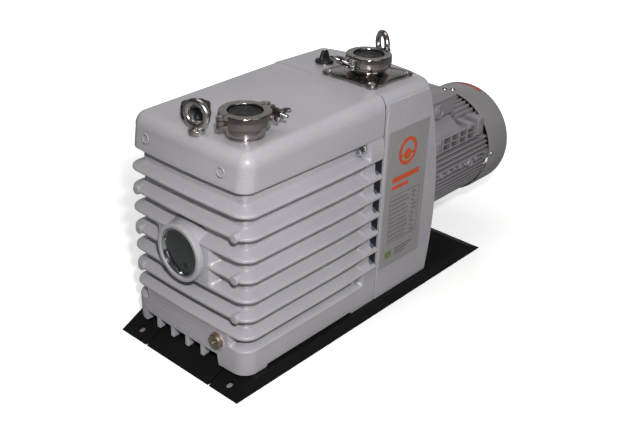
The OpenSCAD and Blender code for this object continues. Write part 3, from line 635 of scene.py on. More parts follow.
def lip(station, edge, z, groove):
    """Outer face of a fin or the skirt, and the groove above it."""
    depth = groove_depth(groove, station)
    face = [(edge + 0.6, z + 0.35, 0), (edge, z + 1.5, 0), (edge, z + 3.4, 0),
            (edge + 0.5, z + 4.7, 0), (edge + 1.8 * depth, z + 5.6, 0)]
    return face + [(edge + (inset - edge) * depth, z + rise, groove)
                   for inset, rise in GROOVE_ROWS]


def case_rows(station):
    bottom = bottom_at(station)
    rows = [(16.0, bottom, 0), (3.0, bottom, 0), (1.4, bottom + 0.5, 0),
            (1.0, bottom + 1.8, 0), (1.0, 46.0, 0), (1.0, SKIRT_Z - 2, 0)]
    rows += lip(station, 1.0, SKIRT_Z, 8)
    for k in range(7, 0, -1):
        rows += underside(station, 0.0, FIN_Z[k], k + 1, lip_inset=2.0, lip_drop=0.1)
        rows += lip(station, 0.0, FIN_Z[k], k)
    rows += underside(station, CAP_INSET, CAP_Z, 1, lip_inset=2.4, lip_drop=0.0)
    rows.append((CAP_INSET + 0.7, 319.5, 0))
    rows += [(CAP_INSET, z, 0) for z in (321.0, 328.0, 338.0, 348.0, 355.0)]
    for i in range(11):
        angle = math.radians(9 * i)
        rows.append((CAP_INSET + CAP_ROUND_OUT - CAP_ROUND_OUT * math.cos(angle),
                     CASE_TOP - CAP_ROUND_UP + CAP_ROUND_UP * math.sin(angle), 0))
    rows.append((CAP_INSET + CAP_ROUND_OUT + 0.7, CASE_TOP, 0))
    return rows


def close_parting_face(bm, column):
    """Wall turned inwards at the back end of the shell, and a strip under its top."""
    inner_half, inner_top = 95.0, 360.0
    inner = []
    for vert in column:
        place = vert.co.copy()
        place.x = math.copysign(min(abs(place.x), inner_half), place.x)
        place.z = min(place.z, inner_top)
        inner.append(bm.verts.new(place))
    for j in range(len(column) - 1):
        bm.faces.new((column[j], column[j + 1], inner[j + 1], inner[j]))


def case_shell():
    part = Part()
    bm = part.bm
    stations = case_stations()
    columns, grooves = [], []
    for station in stations:
        rows = case_rows(station)
        columns.append(part.ring(case_place(*plan_point(station, inset), z)
                                 for inset, z, _ in rows))
        grooves.append([groove for _, _, groove in rows])
    for i in range(len(columns) - 1):
        first, second, groove = columns[i], columns[i + 1], grooves[i]
        kinds = (stations[i][0], stations[i + 1][0])
        on_side = "front" not in kinds and "corner" not in kinds
        # faces deep in the side grooves behind y 293.4 take the blue-black painted shade of the
        # slots
        dark = on_side and min(stations[i][1], stations[i + 1][1]) > 293.4
        for j in range(len(first) - 1):
            face = bm.faces.new((first[j], first[j + 1], second[j + 1], second[j]))
            if dark and 2 <= groove[j] <= 7 and groove[j + 1] == groove[j]:
                face.material_index = 1
    bm.faces.new([column[-1] for column in columns])
    ends = (columns[0], columns[-1])
    for column in ends:
        close_parting_face(bm, column)
    middle = part.ring([(0, 304, 384), (0, 304, 360)])
    for column in ends:
        x = column[-1].co.x
        outer = part.ring([(x, 304, 384), (x, 304, 360)])
        bm.faces.new((outer[0], middle[0], middle[1], outer[1]))
    ob = part.finish("oil_case_shell", (PAINT, SLOT_SHADE), "pump_grey", smooth=46)
    weighted_normals(ob).weight = 70
    return ob


# ---------------------------------------------------------------- oil case details
def case_legs():
    """Ribs behind the front opening, and the blocks inside the feet."""
    part = Part()
    for x in (-68, -34, 0, 34):
        front = bow(x) + 1.2
        # z, half width in front, half width behind, back y
        part.loft([[(x - wide, front, z), (x + wide, front, z),
                    (x + narrow, back, z), (x - narrow, back, z)]
                   for z, wide, narrow, back in ((24, 4.0, 3.4, 15), (30, 3.8, 3.2, 19),
                                                 (50, 3.6, 3.2, 20))])
    part.box(70.4, 104, 6.0, 45, FOOT_BOX_Z, 50)
    part.box(100, 114, 17.0, 45, FOOT_BOX_Z, 50)
    part.box(-110, -96, 12.0, 45, FOOT_BOX_Z, 50)
    for side in SIDES:
        part.box(side * 96, side * 122.5, 246, 303.8, FOOT_BOX_Z, 40)
        part.box(side * 104, side * 122.8, 40, 303, 29, 40)
    part.finish("oil_case_legs", PAINT, "pump_grey", bevel=1.3, bevel_segments=3)


def case_bottom():
    part = Part().box(-108, 108, 12, 303, 42.5, 52)
    part.finish("oil_case_bottom", PAINT, "pump_grey", bevel=1.0)


SIGHT_AXIS = along_y(0, 0, SIGHT_Z)


def sight_glass_boss():
    """Thick ring with rounded lips, and the arch that blends it into the fins."""
    ring = [(45.5, 20.0), (45.0, -9.5), (38.4, -9.5), (38.0, -1.0), (34.0, -0.6)]
    arch = [(51.0, 19.0), (47.5, 8.5), (45.4, 1.0), (44.0, 0.5)]
    for name, profile, rounding in (("boss", ring, 1.6), ("arch", arch, 2.5)):
        part = Part().turn(profile, SIGHT_AXIS, 120, rounding, steps=4)
        part.finish("sight_glass_" + name, PAINT, "pump_grey", smooth=50)


def bowed_mark(x0, z0):
    """Placing for a ring lying on the bowed, leaning cap."""
    return lambda x, y, z: (x0 + x, z + x * x0 / BOW_R + 0.113 * y, z0 + y)


def case_bosses():
    """Small bosses at alternate fins, round marks on the cap and the drain boss."""
    part = Part()
    for side in SIDES:
        x = side * 104.0
        y = bow(x) - 1.0
        for k in (2, 4, 6):
            part.turn([(0.0, y), (6.9, y), (7.4, 26.0)], along_y(x, 0, FIN_Z[k] + 2.6), 48,
                      rounding=0.9)
        x = side * 78.0
        y = bow(x) + 2.62
        part.turn([(7.4, y + 0.6), (7.2, y - 0.45), (6.2, y - 0.45), (5.9, y + 0.5)],
                  bowed_mark(x, 343.0), 48, rounding=0.3, steps=2)
    part.turn([(15.5, 12.0), (15.0, 1.6), (8.0, 1.4)], along_y(DRAIN_X, 0, 66), 64,
              rounding=1.0)
    part.finish("oil_case_bosses", PAINT, "pump_grey", smooth=50)


def oil_case():
    shell = case_shell()
    case_legs()
    case_bottom()
    sight_glass_boss()
    case_bosses()
    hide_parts("oil_case")


# ---------------------------------------------------------------- rear housing
def rear_line(x, z):
    """Arched rear edge of the housing."""
    hump = 34.0 * max(0.0, 1 - (abs(x) / 126.0) ** 2.5) * smoothstep(300, 380, z)
    return -143.0 + math.sqrt(610.0 ** 2 - (z - 140.0) ** 2) + hump


def housing_ring(y, inset):
    radius = 17.0
    half, top = 121.0 - inset, CASE_TOP - inset
    low = 32.0 + inset
    height = CASE_TOP - radius - low
    flat = half - radius
    points = arc(flat, top - radius, radius, 0, 90, 8)
    points += [(flat * (1 - i / 6.0), top) for i in range(1, 12)]
    points += arc(-flat, top - radius, radius, 90, 180, 8)
    points += [(-half, low + height * (1 - i / 14.0)) for i in range(1, 14)]
    points += [(-half, low), (-half + 2, low - 2), (half - 2, low - 2), (half, low)]
    points += [(half, low + height * (i / 14.0)) for i in range(1, 14)]
    ring = []
    for x, z in points:
        bent = y
        if y > HOUSING_BEND:
            reach = (rear_line(x, z) - HOUSING_BEND) / HOUSING_TAIL
            bent = HOUSING_BEND + (y - HOUSING_BEND) * reach
        ring.append((x, bent, z))
    return ring


def rear_housing():
    round_y, round_r = 424.0, 12.0
    sections = [(306.0, 0.6), (306.6, 0.0), (399.0, 0.0), (round_y, 0.0)]     # y, inset
    for i in range(1, 9):
        x, y = polar(round_r, 90 * i / 8)
        sections.append((round_y + y, round_r - x))
    part = Part().loft([housing_ring(y, inset) for y, inset in sections])
    ob = part.finish("rear_housing_shell", PAINT_REAR, "pump_grey", smooth=50,
                     replaces="rear_housing")
    weighted_normals(ob)

    part = Part()
    front, top = 306.4, 374.0
    levels = [FOOT_Z] + [20.0 * i for i in range(2, 18)] + [356.0, 368.0]
    outline = [(front, FOOT_Z)] + [(rear_line(126, z) - 6.0, z) for z in levels]
    outline += [(rear_line(126, top) - 8.0, top), (front, top)]
    for side in SIDES:
        part.prism(outline, side * 119.0, side * 125.0, along_x())
        part.box(side * 90, side * 123.5, 307, 424, FOOT_BOX_Z, 60)
    part.finish("rear_housing_side_panels", PAINT_REAR, "pump_grey", bevel=1.6,
                bevel_segments=4)


# ---------------------------------------------------------------- rating plate
def print_box(part, y0, y1, z0, z1, thick=0.1):
    """A printed rectangle on the face of the plate."""
    part.box(PLATE_X, PLATE_X + thick, y0, y1, z0, z1)


def plate_emblem():
    """Ring with a disc and two bars, and a pair of wide bars below."""
    thick = 0.12
    part = Part()
    part.turn([(24.0, 0.0), (24.0, thick), (17.5, thick), (17.5, 0.0)],
              along_x(PLATE_X, EMBLEM_Y, 280.0), 72)
    part.turn([(0.0, thick), (9.5, thick), (9.5, 0.0)], along_x(PLATE_X, EMBLEM_Y, 274.6), 48)
    # y from, y to (from the emblem's middle), z from, z to
    for y0, y1, z0, z1 in ((-17.6, -9.4, 272.9, 276.3), (9.4, 17.6, 272.9, 276.3),
                           (-36.0, 36.0, 232.0, 241.5), (-36.0, 8.0, 219.5, 226.0)):
        print_box(part, EMBLEM_Y + y0, EMBLEM_Y + y1, z0, z1, thick)
    part.finish("rating_plate_emblem", ORANGE, "label", smooth=40)


def plate_rules():
    """Frame and ruled rows with short broken marks."""
    left, right, low, high = 328, 408, 121.5, 207.0
    rng = random.Random(7)
    part = Part()
    for z in (high, low):
        print_box(part, left, right, z - 0.35, z + 0.35)
    for i in range(10):
        z = 200.0 - i * 8.0
        print_box(part, left, right, z - 4.2, z - 3.85)
        y = 330.0
        stop = 372.0 + 10 * rng.random()
        while y < stop:
            length = 2.0 + 5.0 * rng.random()
            print_box(part, y, min(y + length, stop), z - 1.1, z + 0.5)
            y += length + 1.3
        y = 388.0 + 2 * rng.random()
        print_box(part, y, y + 6 + 8 * rng.random(), z - 1.1, z + 0.5)
    print_box(part, left, left + 0.5, low, high)
    print_box(part, right - 0.5, right, low, high)
    for i in range(3):
        print_box(part, 350, 398 - 9 * i, 104.5 - 5 * i, 106.0 - 5 * i)
    part.finish("rating_plate_rules", INK, "label", smooth=40)


def rating_plate():
    part = Part().prism(round_rect(108, 245, 2.5, 4, 367.0, 201.0), 125.05, PLATE_X, along_x())
    part.finish("rating_plate_film", LABEL, "label", bevel=0.15, replaces="rating_label")
    plate_emblem()
    plate_rules()
    part = Part()
    for i in range(3):
        print_box(part, 326 + 5.6 * i, 330.4 + 5.6 * i, 95.0, 107.0, thick=0.12)
    part.finish("rating_plate_green_bars", GREEN, "label", smooth=40)


# ---------------------------------------------------------------- sight glass and drain
def sight_glass():
    part = Part().turn([(37.9, -1.0), (37.9, -7.4), (37.2, -8.0), (35.8, -7.9), (33.6, -1.9),
                        (33.2, -0.8)], SIGHT_AXIS, 120, rounding=0.7)
    part.finish("sight_glass_chrome_ring", CHROME, "nickel", smooth=50,
                replaces="sight_glass_ring")
    part = Part().turn([(0.0, -2.6), (33.2, -2.6), (33.9, -1.6)], SIGHT_AXIS, 120,
                       rounding=0.4)
    part.finish("sight_glass_lens", GLASS, "sight", smooth=50)
    part = Part().turn([(0.0, -0.9), (34.0, -0.9), (34.0, -0.5)], SIGHT_AXIS, 120)
    part.finish("sight_glass_gauge_plate", GAUGE, "sight", smooth=50, replaces="sight_glass")
    part = Part()
    for z, half in ((206.0, 24.0), (194.0, 27.0), (182.0, 25.0)):
        part.box(-half, half, -1.2, -0.95, z - 0.5, z + 0.5)
    part.finish("sight_glass_level_lines", TICK, "sight", smooth=40)
    part = Part().turn([(0.0, -1.7), (4.4, -1.6), (5.0, -0.95)], along_y(8, 0, 171), 40)
    part.finish("sight_glass_float", BLACK, "sight", smooth=50)


def drain_plug():
    axis = along_y(DRAIN_X, 0, DRAIN_Z)
    part = Part().turn([(0.0, -1.6), (4.8, -1.6), (5.2, -4.6), (10.6, -4.8), (12.0, -3.6),
                        (12.0, 1.6)], axis, 72, rounding=0.5)
    part.finish("drain_plug_head", PLUG, "plug", body="drain", smooth=45,
                replaces="drain_plug")
    part = Part().turn([(0.0, -3.9), (2.2, -3.5), (3.5, -2.4), (3.9, -1.0)], axis, 40)
    part.finish("drain_plug_socket_pin", ZINC, "zinc", body="drain", smooth=50)


# ---------------------------------------------------------------- screws
def cap_screw(part, put, radius, height, socket):
    """Socket-head screw: knurled side, round rim, hexagonal socket of that width."""
    count, knurl = 60, 0.28
    rings = []
    for r, z, knurled in ((radius * 0.99, 0.0, True), (radius, height * 0.15, True),
                          (radius, height * 0.78, True), (radius * 0.93, height * 0.95, False),
                          (radius * 0.80, height, False)):
        rings.append([put(*polar(r - (knurl if knurled and i % 2 else 0.0), 360.0 * i / count),
                          z) for i in range(count)])
    angles = [360.0 * i / count for i in range(count)]
    for z in (height, height * 0.45):
        rings.append([put(*polar(socket / math.cos(math.radians(a % 60.0 - 30.0)) * 0.5, a), z)
                      for a in angles])
    part.loft(rings)


def housing_screws():
    part = Part()
    for side in SIDES:
        for z in (79.0, 307.0):
            cap_screw(part, towards_front(side * 112, 264, z), radius=7.0, height=10.0,
                      socket=6.0)
            part.turn([(7.9, 0.0), (7.9, 1.6), (4.0, 1.6)],
                      towards_front(side * 112, 265.5, z), 48)
    heads = part.finish("case_screw_heads", ZINC, "zinc", smooth=35)
    hexagon = [polar(13.0 / math.sqrt(3), 15.0 + 60 * i) for i in range(6)]
    for angle in (45, 135, 225, 315):
        x, z = polar(82, angle, y=MOTOR_Z)
        part = Part().prism(hexagon, 446.0, 451.3, along_y(x, 0, z))
        part.finish("motor_flange_screw_%d" % angle, ZINC, "zinc", bevel=0.5)
    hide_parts("housing_screws")


# ---------------------------------------------------------------- ports
# A port's local z = 0 is the joint between the neck and the blank disc.
EXHAUST_X, EXHAUST_Y = 62.0, 66.0
EXHAUST_PORT = turned_z(EXHAUST_X, EXHAUST_Y, top_at(EXHAUST_Y) - 1.2 + NECK_H, -6.0)
INTAKE_X, INTAKE_Y = 36.0, 364.0
INTAKE_PORT = turned_z(INTAKE_X, INTAKE_Y, 411.0, 174.0)
INTAKE_AXIS = along_z(INTAKE_X, INTAKE_Y)
FLANGE_HOLE = 44            # from the intake axis, in x and in y


def exhaust_neck():
    profile = [(20.0, -8), (28.0, -8), (28.0, 3.4), (27.5, 3.7), (27.5, 4.1), (28.0, 4.4),
               (28.0, 17.0), (24.0, 18.5)]                      # z above the foot of the neck
    profile = [(radius, z - NECK_H) for radius, z in profile]
    profile += [(22.3, -9.4), (22.3, -5.4), (27.4, -4.05), (27.4, -1.6), (20.6, -1.6)]
    part = Part().turn(profile, EXHAUST_PORT, 128, rounding=0.5)
    part.finish("exhaust_neck", NICKEL, "nickel", smooth=40, replaces="exhaust_nozzle")


def lobed_outline(inset):
    """Four lobes joined by hollow sides; the first side is more strongly curved."""
    points = []
    for quarter in range(4):
        outline = [polar(10 - inset, angle, FLANGE_HOLE, FLANGE_HOLE)
                   for angle in (-48, -30, -12, 8, 27, 45, 63, 82, 102, 120, 138)]
        radius, centre, step = (140.0, 190.5, 2.4) if quarter else (68.7, 113.7, 5.0)
        hollow = [polar(radius + inset, -90 + (6 - i) * step, y=centre) for i in range(1, 12)]
        outline += [(x, y) for x, y in hollow if abs(x) < 33.5]
        points += [rotate(x, y, 90 * quarter) for x, y in outline]
    return points


def intake():
    # inset of the outline, z
    sections = ((0.9, 384.02), (0.0, 384.8), (0.0, 389.0), (0.35, 389.7), (1.1, 390.1))
    part = Part().loft([[INTAKE_AXIS(x, y, z) for x, y in lobed_outline(inset)]
                        for inset, z in sections])
    plate = part.finish("intake_flange_plate", NICKEL_CAST, "nickel", smooth=40)
    part = Part().turn([(38.5, 389.8), (37.5, 391.2), (32.0, 392.4), (29.0, 394.5),
                        (28.2, 397.0), (28.2, 401.5), (22.3, 402.4), (22.3, 405.6),
                        (27.4, 406.95), (27.4, 409.4), (20.6, 409.4), (20.0, 392.0)],
                       INTAKE_AXIS, 128, rounding=1.2, steps=4)
    part.finish("intake_neck", NICKEL, "nickel", smooth=40)
    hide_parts("intake_flange")
    part = Part()
    for side_x in SIDES:
        for side_y in SIDES:
            x, y = INTAKE_X + side_x * FLANGE_HOLE, INTAKE_Y + side_y * FLANGE_HOLE
            cap_screw(part, along_z(x, y, 389.6), radius=4.4, height=2.6, socket=4.4)
            part.turn([(5.6, 389.4), (5.6, 390.2), (4.2, 390.3)], along_z(x, y), 48)
    part.finish("intake_flange_screw_heads", ZINC, "zinc", smooth=35,
                replaces="intake_flange_screws")


# ---------------------------------------------------------------- port clamps
# Section of a clamp half (radius, z); its last point would repeat the first.
CLAMP_SECTION = round_profile(
    [(30.0, -9.0), (36.6, -9.0), (37.2, 0.0), (36.6, 9.0), (24.8, 9.0), (24.5, 5.1),
     (28.0, 4.15), (28.0, -4.15), (24.5, -5.1), (24.8, -9.0), (30.0, -9.0)], 1.7, 4)[:-1]
LUG_LEVELS = ((3.6, 7.4), (-7.4, -3.6))
PIVOT = (0.0, -41.0)        # hinge of the two halves
SWING = (-8.0, 43.0)        # hinge of the swing bolt


def eye_profile(hole, rim, low, high):
    return [(hole, low), (rim, low), (rim, high), (hole, high)]


def finish_clamp_half(part, tag, side):
    part.finish(f"{tag}_clamp_{side}_casting", NICKEL_CAST, "nickel", bevel=0.7,
                bevel_segments=3, bevel_angle=40, replaces=f"{tag}_clamp_{side}_half")


def clamp_left(tag, port):
    part = Part().arc_solid(CLAMP_SECTION, port, 90.9, 269.1)
    lug = arc(*SWING, 6.6, -10, 190, 14) + [(-14.5, 32.0), (-1.4, 33.0)]
    for low, high in LUG_LEVELS:
        part.prism(lug, low, high, port)
    part.prism([(-15.5, 29.5), (-1.2, 33.0), (-1.2, 38.0), (-14.6, 38.0)], -7.4, 7.4, port)
    part.turn(eye_profile(2.7, 6.2, -3.4, 3.4), shifted(port, *PIVOT), 40, 0.6, steps=2)
    part.prism([(-9.5, -34.0), (-1.0, -34.5), (-2.0, -42.5), (-5.5, -41.5)], -3.4, 3.4, port)
    finish_clamp_half(part, tag, "left")


def clamp_right(tag, port):
    part = Part().arc_solid(CLAMP_SECTION, port, -89.1, 89.1)
    for low, high in LUG_LEVELS:
        part.prism([(1.2, 32.0), (9.0, 31.0), (9.0, 44.6), (7.4, 47.0), (2.8, 47.0),
                    (1.2, 45.0)], low, high, port)
    part.prism([(1.2, 33.0), (9.5, 30.0), (9.0, 37.4), (1.2, 37.4)], -7.4, 7.4, port)
    for low, high in ((3.8, 8.8), (-8.8, -3.8)):
        part.turn(eye_profile(2.7, 6.2, low, high), shifted(port, *PIVOT), 40, 0.8, steps=2)
        part.prism([(9.5, -34.0), (1.0, -34.5), (2.0, -42.5), (5.5, -41.5)], low, high, port)
    finish_clamp_half(part, tag, "right")


def clamp_pins(tag, port):
    part = Part()
    for hinge, half in ((PIVOT, 9.4), (SWING, 8.0)):
        part.turn([(0.0, -half - 0.5), (2.5, -half), (2.5, half), (0.0, half + 0.5)],
                  shifted(port, *hinge), 32, rounding=0.4, steps=2)
    return part.finish(tag + "_clamp_pivot_pins", ZINC, "zinc", smooth=40)


def swing_bolt(tag, port):
    """Eye at the hinge and a rod with 1 mm thread lying along local x."""
    hinge_x, hinge_y = SWING
    part = Part().turn(eye_profile(2.6, 5.0, -3.3, 3.3), shifted(port, *SWING), 40, 0.6,
                       steps=2)
    rod = [(2.9, 3.0)]
    for i in range(6, 46):
        rod += [(3.0, i), (2.62, i + 0.5)]
    rod += [(2.2, 46.0), (0.0, 46.2)]
    part.turn(rod, lambda x, y, z: port(hinge_x + z, hinge_y + x, y), 24)
    part.finish(tag + "_clamp_threaded_bolt", ZINC, "zinc", body=tag + "_swing_bolt",
                smooth=60, replaces=tag + "_clamp_bolt")


def wing_nut(tag, port):
    axis_y = SWING[1]
    part = Part().turn([(3.1, 9.6), (6.4, 9.6), (6.6, 12.0), (6.3, 20.0), (5.4, 28.6),
                        (4.4, 29.2), (3.1, 28.0)],
                       lambda x, y, z: port(z, axis_y + x, y), 48, rounding=0.7)
    # distance from the bolt axis, place along the bolt
    wing = [(2.5, 12.5), (5.5, 14.0), (8.8, 19.0), (12.4, 22.0), (14.2, 26.0), (14.3, 30.0),
            (12.6, 33.0), (10.0, 33.8), (7.6, 32.0), (5.0, 27.5), (2.5, 26.5)]
    middle_out, middle_along = 8.0, 23.5
    for side in SIDES:
        rings = []
        # place through the wing's thickness, scale of the outline there
        for layer, scale in ((-1.7, 0.86), (-1.3, 0.96), (0.0, 1.0), (1.3, 0.96), (1.7, 0.86)):
            ring = []
            for out, along in wing:
                reach = side * (middle_out + (out - middle_out) * scale)
                y, z = rotate(reach, layer, WING_DEGREES)
                x = middle_along + (along - middle_along) * scale
                ring.append(port(x, axis_y + y, z))
            rings.append(ring)
        part.loft(rings)
    part.finish(tag + "_wing_nut_casting", NICKEL_CAST, "nickel", body=tag + "_nut",
                smooth=55, bevel=0.35, weighted=False, replaces=tag + "_wing_nut")


def blank_disc(tag, port):
    part = Part().turn([(0.0, 5.0), (9.0, 5.0), (9.4, 5.6), (10.4, 5.6), (10.8, 5.0),
                        (19.0, 5.0), (20.0, 6.3), (22.2, 6.4), (22.6, 5.2), (27.3, 4.0),
                        (27.3, 1.6), (20.6, 1.6), (20.6, 3.8), (0.0, 3.9)],
                       port, 96, rounding=0.35, steps=2)
    return part.finish(tag + "_blank_disc", BLACK, "black_plastic", smooth=45)


def clamp(tag, port):
    clamp_left(tag, port)
    clamp_right(tag, port)
    pins = clamp_pins(tag, port)
    swing_bolt(tag, port)
    wing_nut(tag, port)
    return pins, blank_disc(tag, port)


def clamps():
    pins, disc = clamp("exhaust", EXHAUST_PORT)
    clamp("intake", INTAKE_PORT)
    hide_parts("clamp_pins")
    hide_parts("port_blank_plugs")


# ---------------------------------------------------------------- lifting eyes
def lifting_eye(name, x0, y0, z0, degrees, rise):
    """Stepped foot and a ring that is thicker at its lower side."""
    part = Part().turn([(0.0, 0.0), (12.0, 0.0), (12.0, 6.6), (10.2, 7.6), (8.2, 8.6 + rise),
                        (7.0, 10.4 + rise), (4.4, 12.0 + rise), (0.0, 12.1 + rise)],
                       along_z(x0, y0, z0), 72, rounding=0.9, steps=4)
    ring_radius, wire_radius, ring_count, wire_count = 17.5, 4.9, 84, 24
    put = turned_z(x0, y0, z0 + 28.4 + rise, degrees)
    rings = []
    for i in range(ring_count):
        angle = 360.0 * i / ring_count
        wire = wire_radius * (1.0 + 0.16 * max(0.0, -math.sin(math.radians(angle))) ** 3)
        points = []
        for j in range(wire_count):
            out, x = polar(wire, 360.0 * j / wire_count)
            points.append(put(x, *polar(ring_radius + out, angle)))
        rings.append(part.ring(points))
    for i in range(ring_count):
        ring, after = rings[i], rings[(i + 1) % ring_count]
        for j in range(wire_count):
            k = (j + 1) % wire_count
            part.bm.faces.new((ring[j], after[j], after[k], ring[k]))
    return part.finish(name, EYE, "nickel", smooth=50)


def lifting_eyes():
    front = lifting_eye("lifting_eye_front", 10.0, 25.0, top_at(25.0) - 1.0, degrees=-80.5,
                        rise=0.0)
    lifting_eye("lifting_eye_rear", 15.0, 426.0, CASE_TOP, degrees=-118.0, rise=6.0)
    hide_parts("eye_bolts")


# ---------------------------------------------------------------- filler cap and ballast knob
def scalloped(radius, depth, scallops=8, count=96):
    points = []
    for i in range(count):
        angle = 360.0 * i / count
        hollow = 0.5 + 0.5 * math.cos(scallops * math.radians(angle))
        points.append(polar(radius - depth * hollow ** 1.6, angle))
    return points


def filler_cap():
    # radius, depth of the scallops, z above the seat
    sections = ((19.0, 0.0, 2.0), (21.6, 0.0, 2.2), (22.0, 0.0, 3.2), (22.0, 0.0, 5.2),
                (21.9, 2.6, 6.4), (21.9, 2.9, 16.6), (21.2, 2.8, 18.8), (19.6, 2.4, 19.9),
                (17.0, 1.2, 20.3), (14.6, 0.4, 20.0), (13.6, 0.1, 18.8), (6.0, 0.0, 18.6))
    put = along_z(-36, 64, top_at(64.0) - 1.0)
    part = Part().loft([[put(x, y, z) for x, y in scalloped(radius, depth)]
                        for radius, depth, z in sections])
    part.finish("filler_cap_grip", BLACK, "black_plastic", body="filler_cap", smooth=50,
                replaces="oil_filler_cap")


def ballast_knob():
    """Round foot with a slim upright grip and a white line on its top."""
    part = Part().turn([(12.0, 2.1), (15.5, 2.3), (15.5, 5.2), (12.5, 6.6), (9.5, 7.2),
                        (8.0, 9.4), (0.0, 9.8)], along_z(*BALLAST, CASE_TOP), 72,
                       rounding=0.8, steps=4)
    grip = turned_z(*BALLAST, CASE_TOP, 75)
    # z, half length, half width
    sections = ((6.5, 10.6, 4.8), (9.0, 9.4, 3.8), (15.0, 8.0, 3.2), (19.6, 6.4, 2.8),
                (21.4, 5.2, 2.3), (22.0, 4.0, 1.6))
    part.loft([[grip(x, y, z) for x, y in round_rect(2 * length, 2 * width, width * 0.92, 5)]
               for z, length, width in sections])
    part.finish("gas_ballast_grip", BLACK, "black_plastic", body="ballast_knob", smooth=50,
                replaces="gas_ballast_knob")
    part = Part().box(-0.5, 0.5, -3.0, 3.0, 22.0, 22.3, put=lambda x, y, z: grip(y, x, z))
    part.finish("gas_ballast_pointer", WHITE, "black_plastic", body="ballast_knob", smooth=40)


# ---------------------------------------------------------------- motor
MOTOR_AXIS = along_y(0, 0, MOTOR_Z)


def motor_point(out, across, degrees, y):
    """A place given by its reach out and its offset across, turned about the motor axis."""
    x, z = rotate(out, across, degrees)
    return x, y, MOTOR_Z + z


def motor_barrel():
    part = Part().turn([(79.0, 452.2), (85.0, 452.2), (86.4, 458.0), (85.0, 464.0),
                        (85.0, 648.0), (86.5, 653.0), (86.5, 660.0), (79.0, 660.0)],
                       MOTOR_AXIS, 160, rounding=1.2)
    part.finish("motor_frame_barrel", MOTOR, "motor_grey", smooth=40)


def cooling_fin(part, degrees, offset, tip_radius, y0, y1):
    """One cast fin, tapered and rounded at the tip, lower at both ends."""
    root_half, tip_half = 2.2, 1.25
    root = math.sqrt(BARREL_R ** 2 - offset * offset) - 2.0
    tip = math.sqrt(tip_radius * tip_radius - offset * offset)
    outline = [(root, -root_half), (tip - 1.2, -tip_half), (tip - 0.3, -tip_half * 0.7),
               (tip, 0.0), (tip - 0.3, tip_half * 0.7), (tip - 1.2, tip_half),
               (root, root_half)]
    part.loft([[motor_point(root + (out - root) * scale, offset + across, degrees, y)
                for out, across in outline]
               for y, scale in ((y0, 0.55), (y0 + 3.0, 1.0), (y1 - 3.0, 1.0), (y1, 0.55))])


def motor_fins():
    part = Part()
    for degrees in (0, 180, 90, 270):
        for i in range(-7, 8):
            offset = i * FIN_PITCH
            height = {0: offset, 180: -offset}.get(degrees, 0)
            if 40 < height < 76:        # room for the mounting pads
                continue
            if degrees == 90 and abs(offset) < 56:      # lower under the terminal box
                cooling_fin(part, degrees, offset, 90.5, 458, 610)
                cooling_fin(part, degrees, offset, FIN_R, 611, 676)
            else:
                cooling_fin(part, degrees, offset, FIN_R, 458, 676)
    return part.finish("motor_cooling_fins", MOTOR, "motor_grey", smooth=50)


def motor_pads():
    """Raised pads on the upper flanks: blocks, a lattice of ribs and a sloping shoulder."""
    low, high = 213.0, 248.0
    part = Part()
    for side in SIDES:
        for y0, y1, z0, z1 in ((500, 520, low, high - 8), (636, 656, low + 3, high + 2),
                               (604, 616, high - 12, high + 2)):
            part.loft([[(side * x, y0 + cut, z0 + cut), (side * x, y1 - cut, z0 + cut),
                        (side * x, y1 - cut, z1 - cut), (side * x, y0 + cut, z1 - cut)]
                       for x, cut in ((60, 0), (88, 0), (92, 2.5))])
        root = side * 60
        part.box(root, side * 76, 519, 637, low + 1, high - 6)
        for y in (526, 552, 578, 604, 630):
            part.box(root, side * 90, y - 1.8, y + 1.8, low + 1, high - 6)
        for z in (low + 2.2, low + 14.0, high - 8.0):
            part.box(root, side * 88.5, 518, 638, z - 1.6, z + 1.6)
        part.loft([[(side * outer, y0, z), (side * outer, y1, z),
                    (side * inner, y1, z), (side * inner, y0, z)]
                   for outer, inner, y0, y1, z in ((84, 50, 498, 592, high - 9),
                                                   (54, 40, 504, 590, 262))])
    part.finish("motor_mounting_pads", MOTOR, "motor_grey", bevel=1.1, bevel_segments=3)


def motor_side(side, y0, z0):
    """Placing with local z pointing out to one side of the motor."""
    return lambda x, y, z: (side * z, y0 + x, z0 + y)


def motor_side_bosses():
    """Drilled holes of the pads, and a row of cast bosses near the axis height."""
    # y, radius, reach from the motor's middle plane
    bosses = ((612, 9.0, 99.5), (632, 5.0, 99.0), (596, 4.4, 98.6), (580, 5.4, 99.4),
              (562, 4.2, 98.4), (542, 4.6, 98.6), (520, 5.2, 99.0))
    part = Part()
    for side in SIDES:
        for y, z in ((510, 227.5), (646, 233.0)):
            part.turn([(4.4, 92.05), (4.1, 92.5), (3.2, 92.45), (3.0, 89.2), (0.0, 89.0)],
                      motor_side(side, y, z), 32)
        for y, radius, top in bosses:
            rise = 0.0 if radius > 8 else 3.0
            part.turn([(0.0, top - 1.2), (radius * 0.45, top - 1.2), (radius * 0.55, top),
                       (radius * 0.85, top), (radius, top - 3), (radius * 1.3, 84.0)],
                      motor_side(side, y, MOTOR_Z + rise), 36, rounding=0.6, steps=2)
    part.finish("motor_pad_holes_and_bosses", MOTOR, "motor_grey", smooth=45)


def motor_frame():
    motor_barrel()
    fins = motor_fins()
    motor_pads()
    motor_side_bosses()
    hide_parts("motor_frame")


def terminal_stack(sections):
    """Lofted rounded rectangles: x size, y size, corner radius, z."""
    put = along_z(0, TERMINAL_Y)
    return Part().loft([[put(x, y, z) for x, y in round_rect(size_x, size_y, radius, 5)]
                        for size_x, size_y, radius, z in sections])


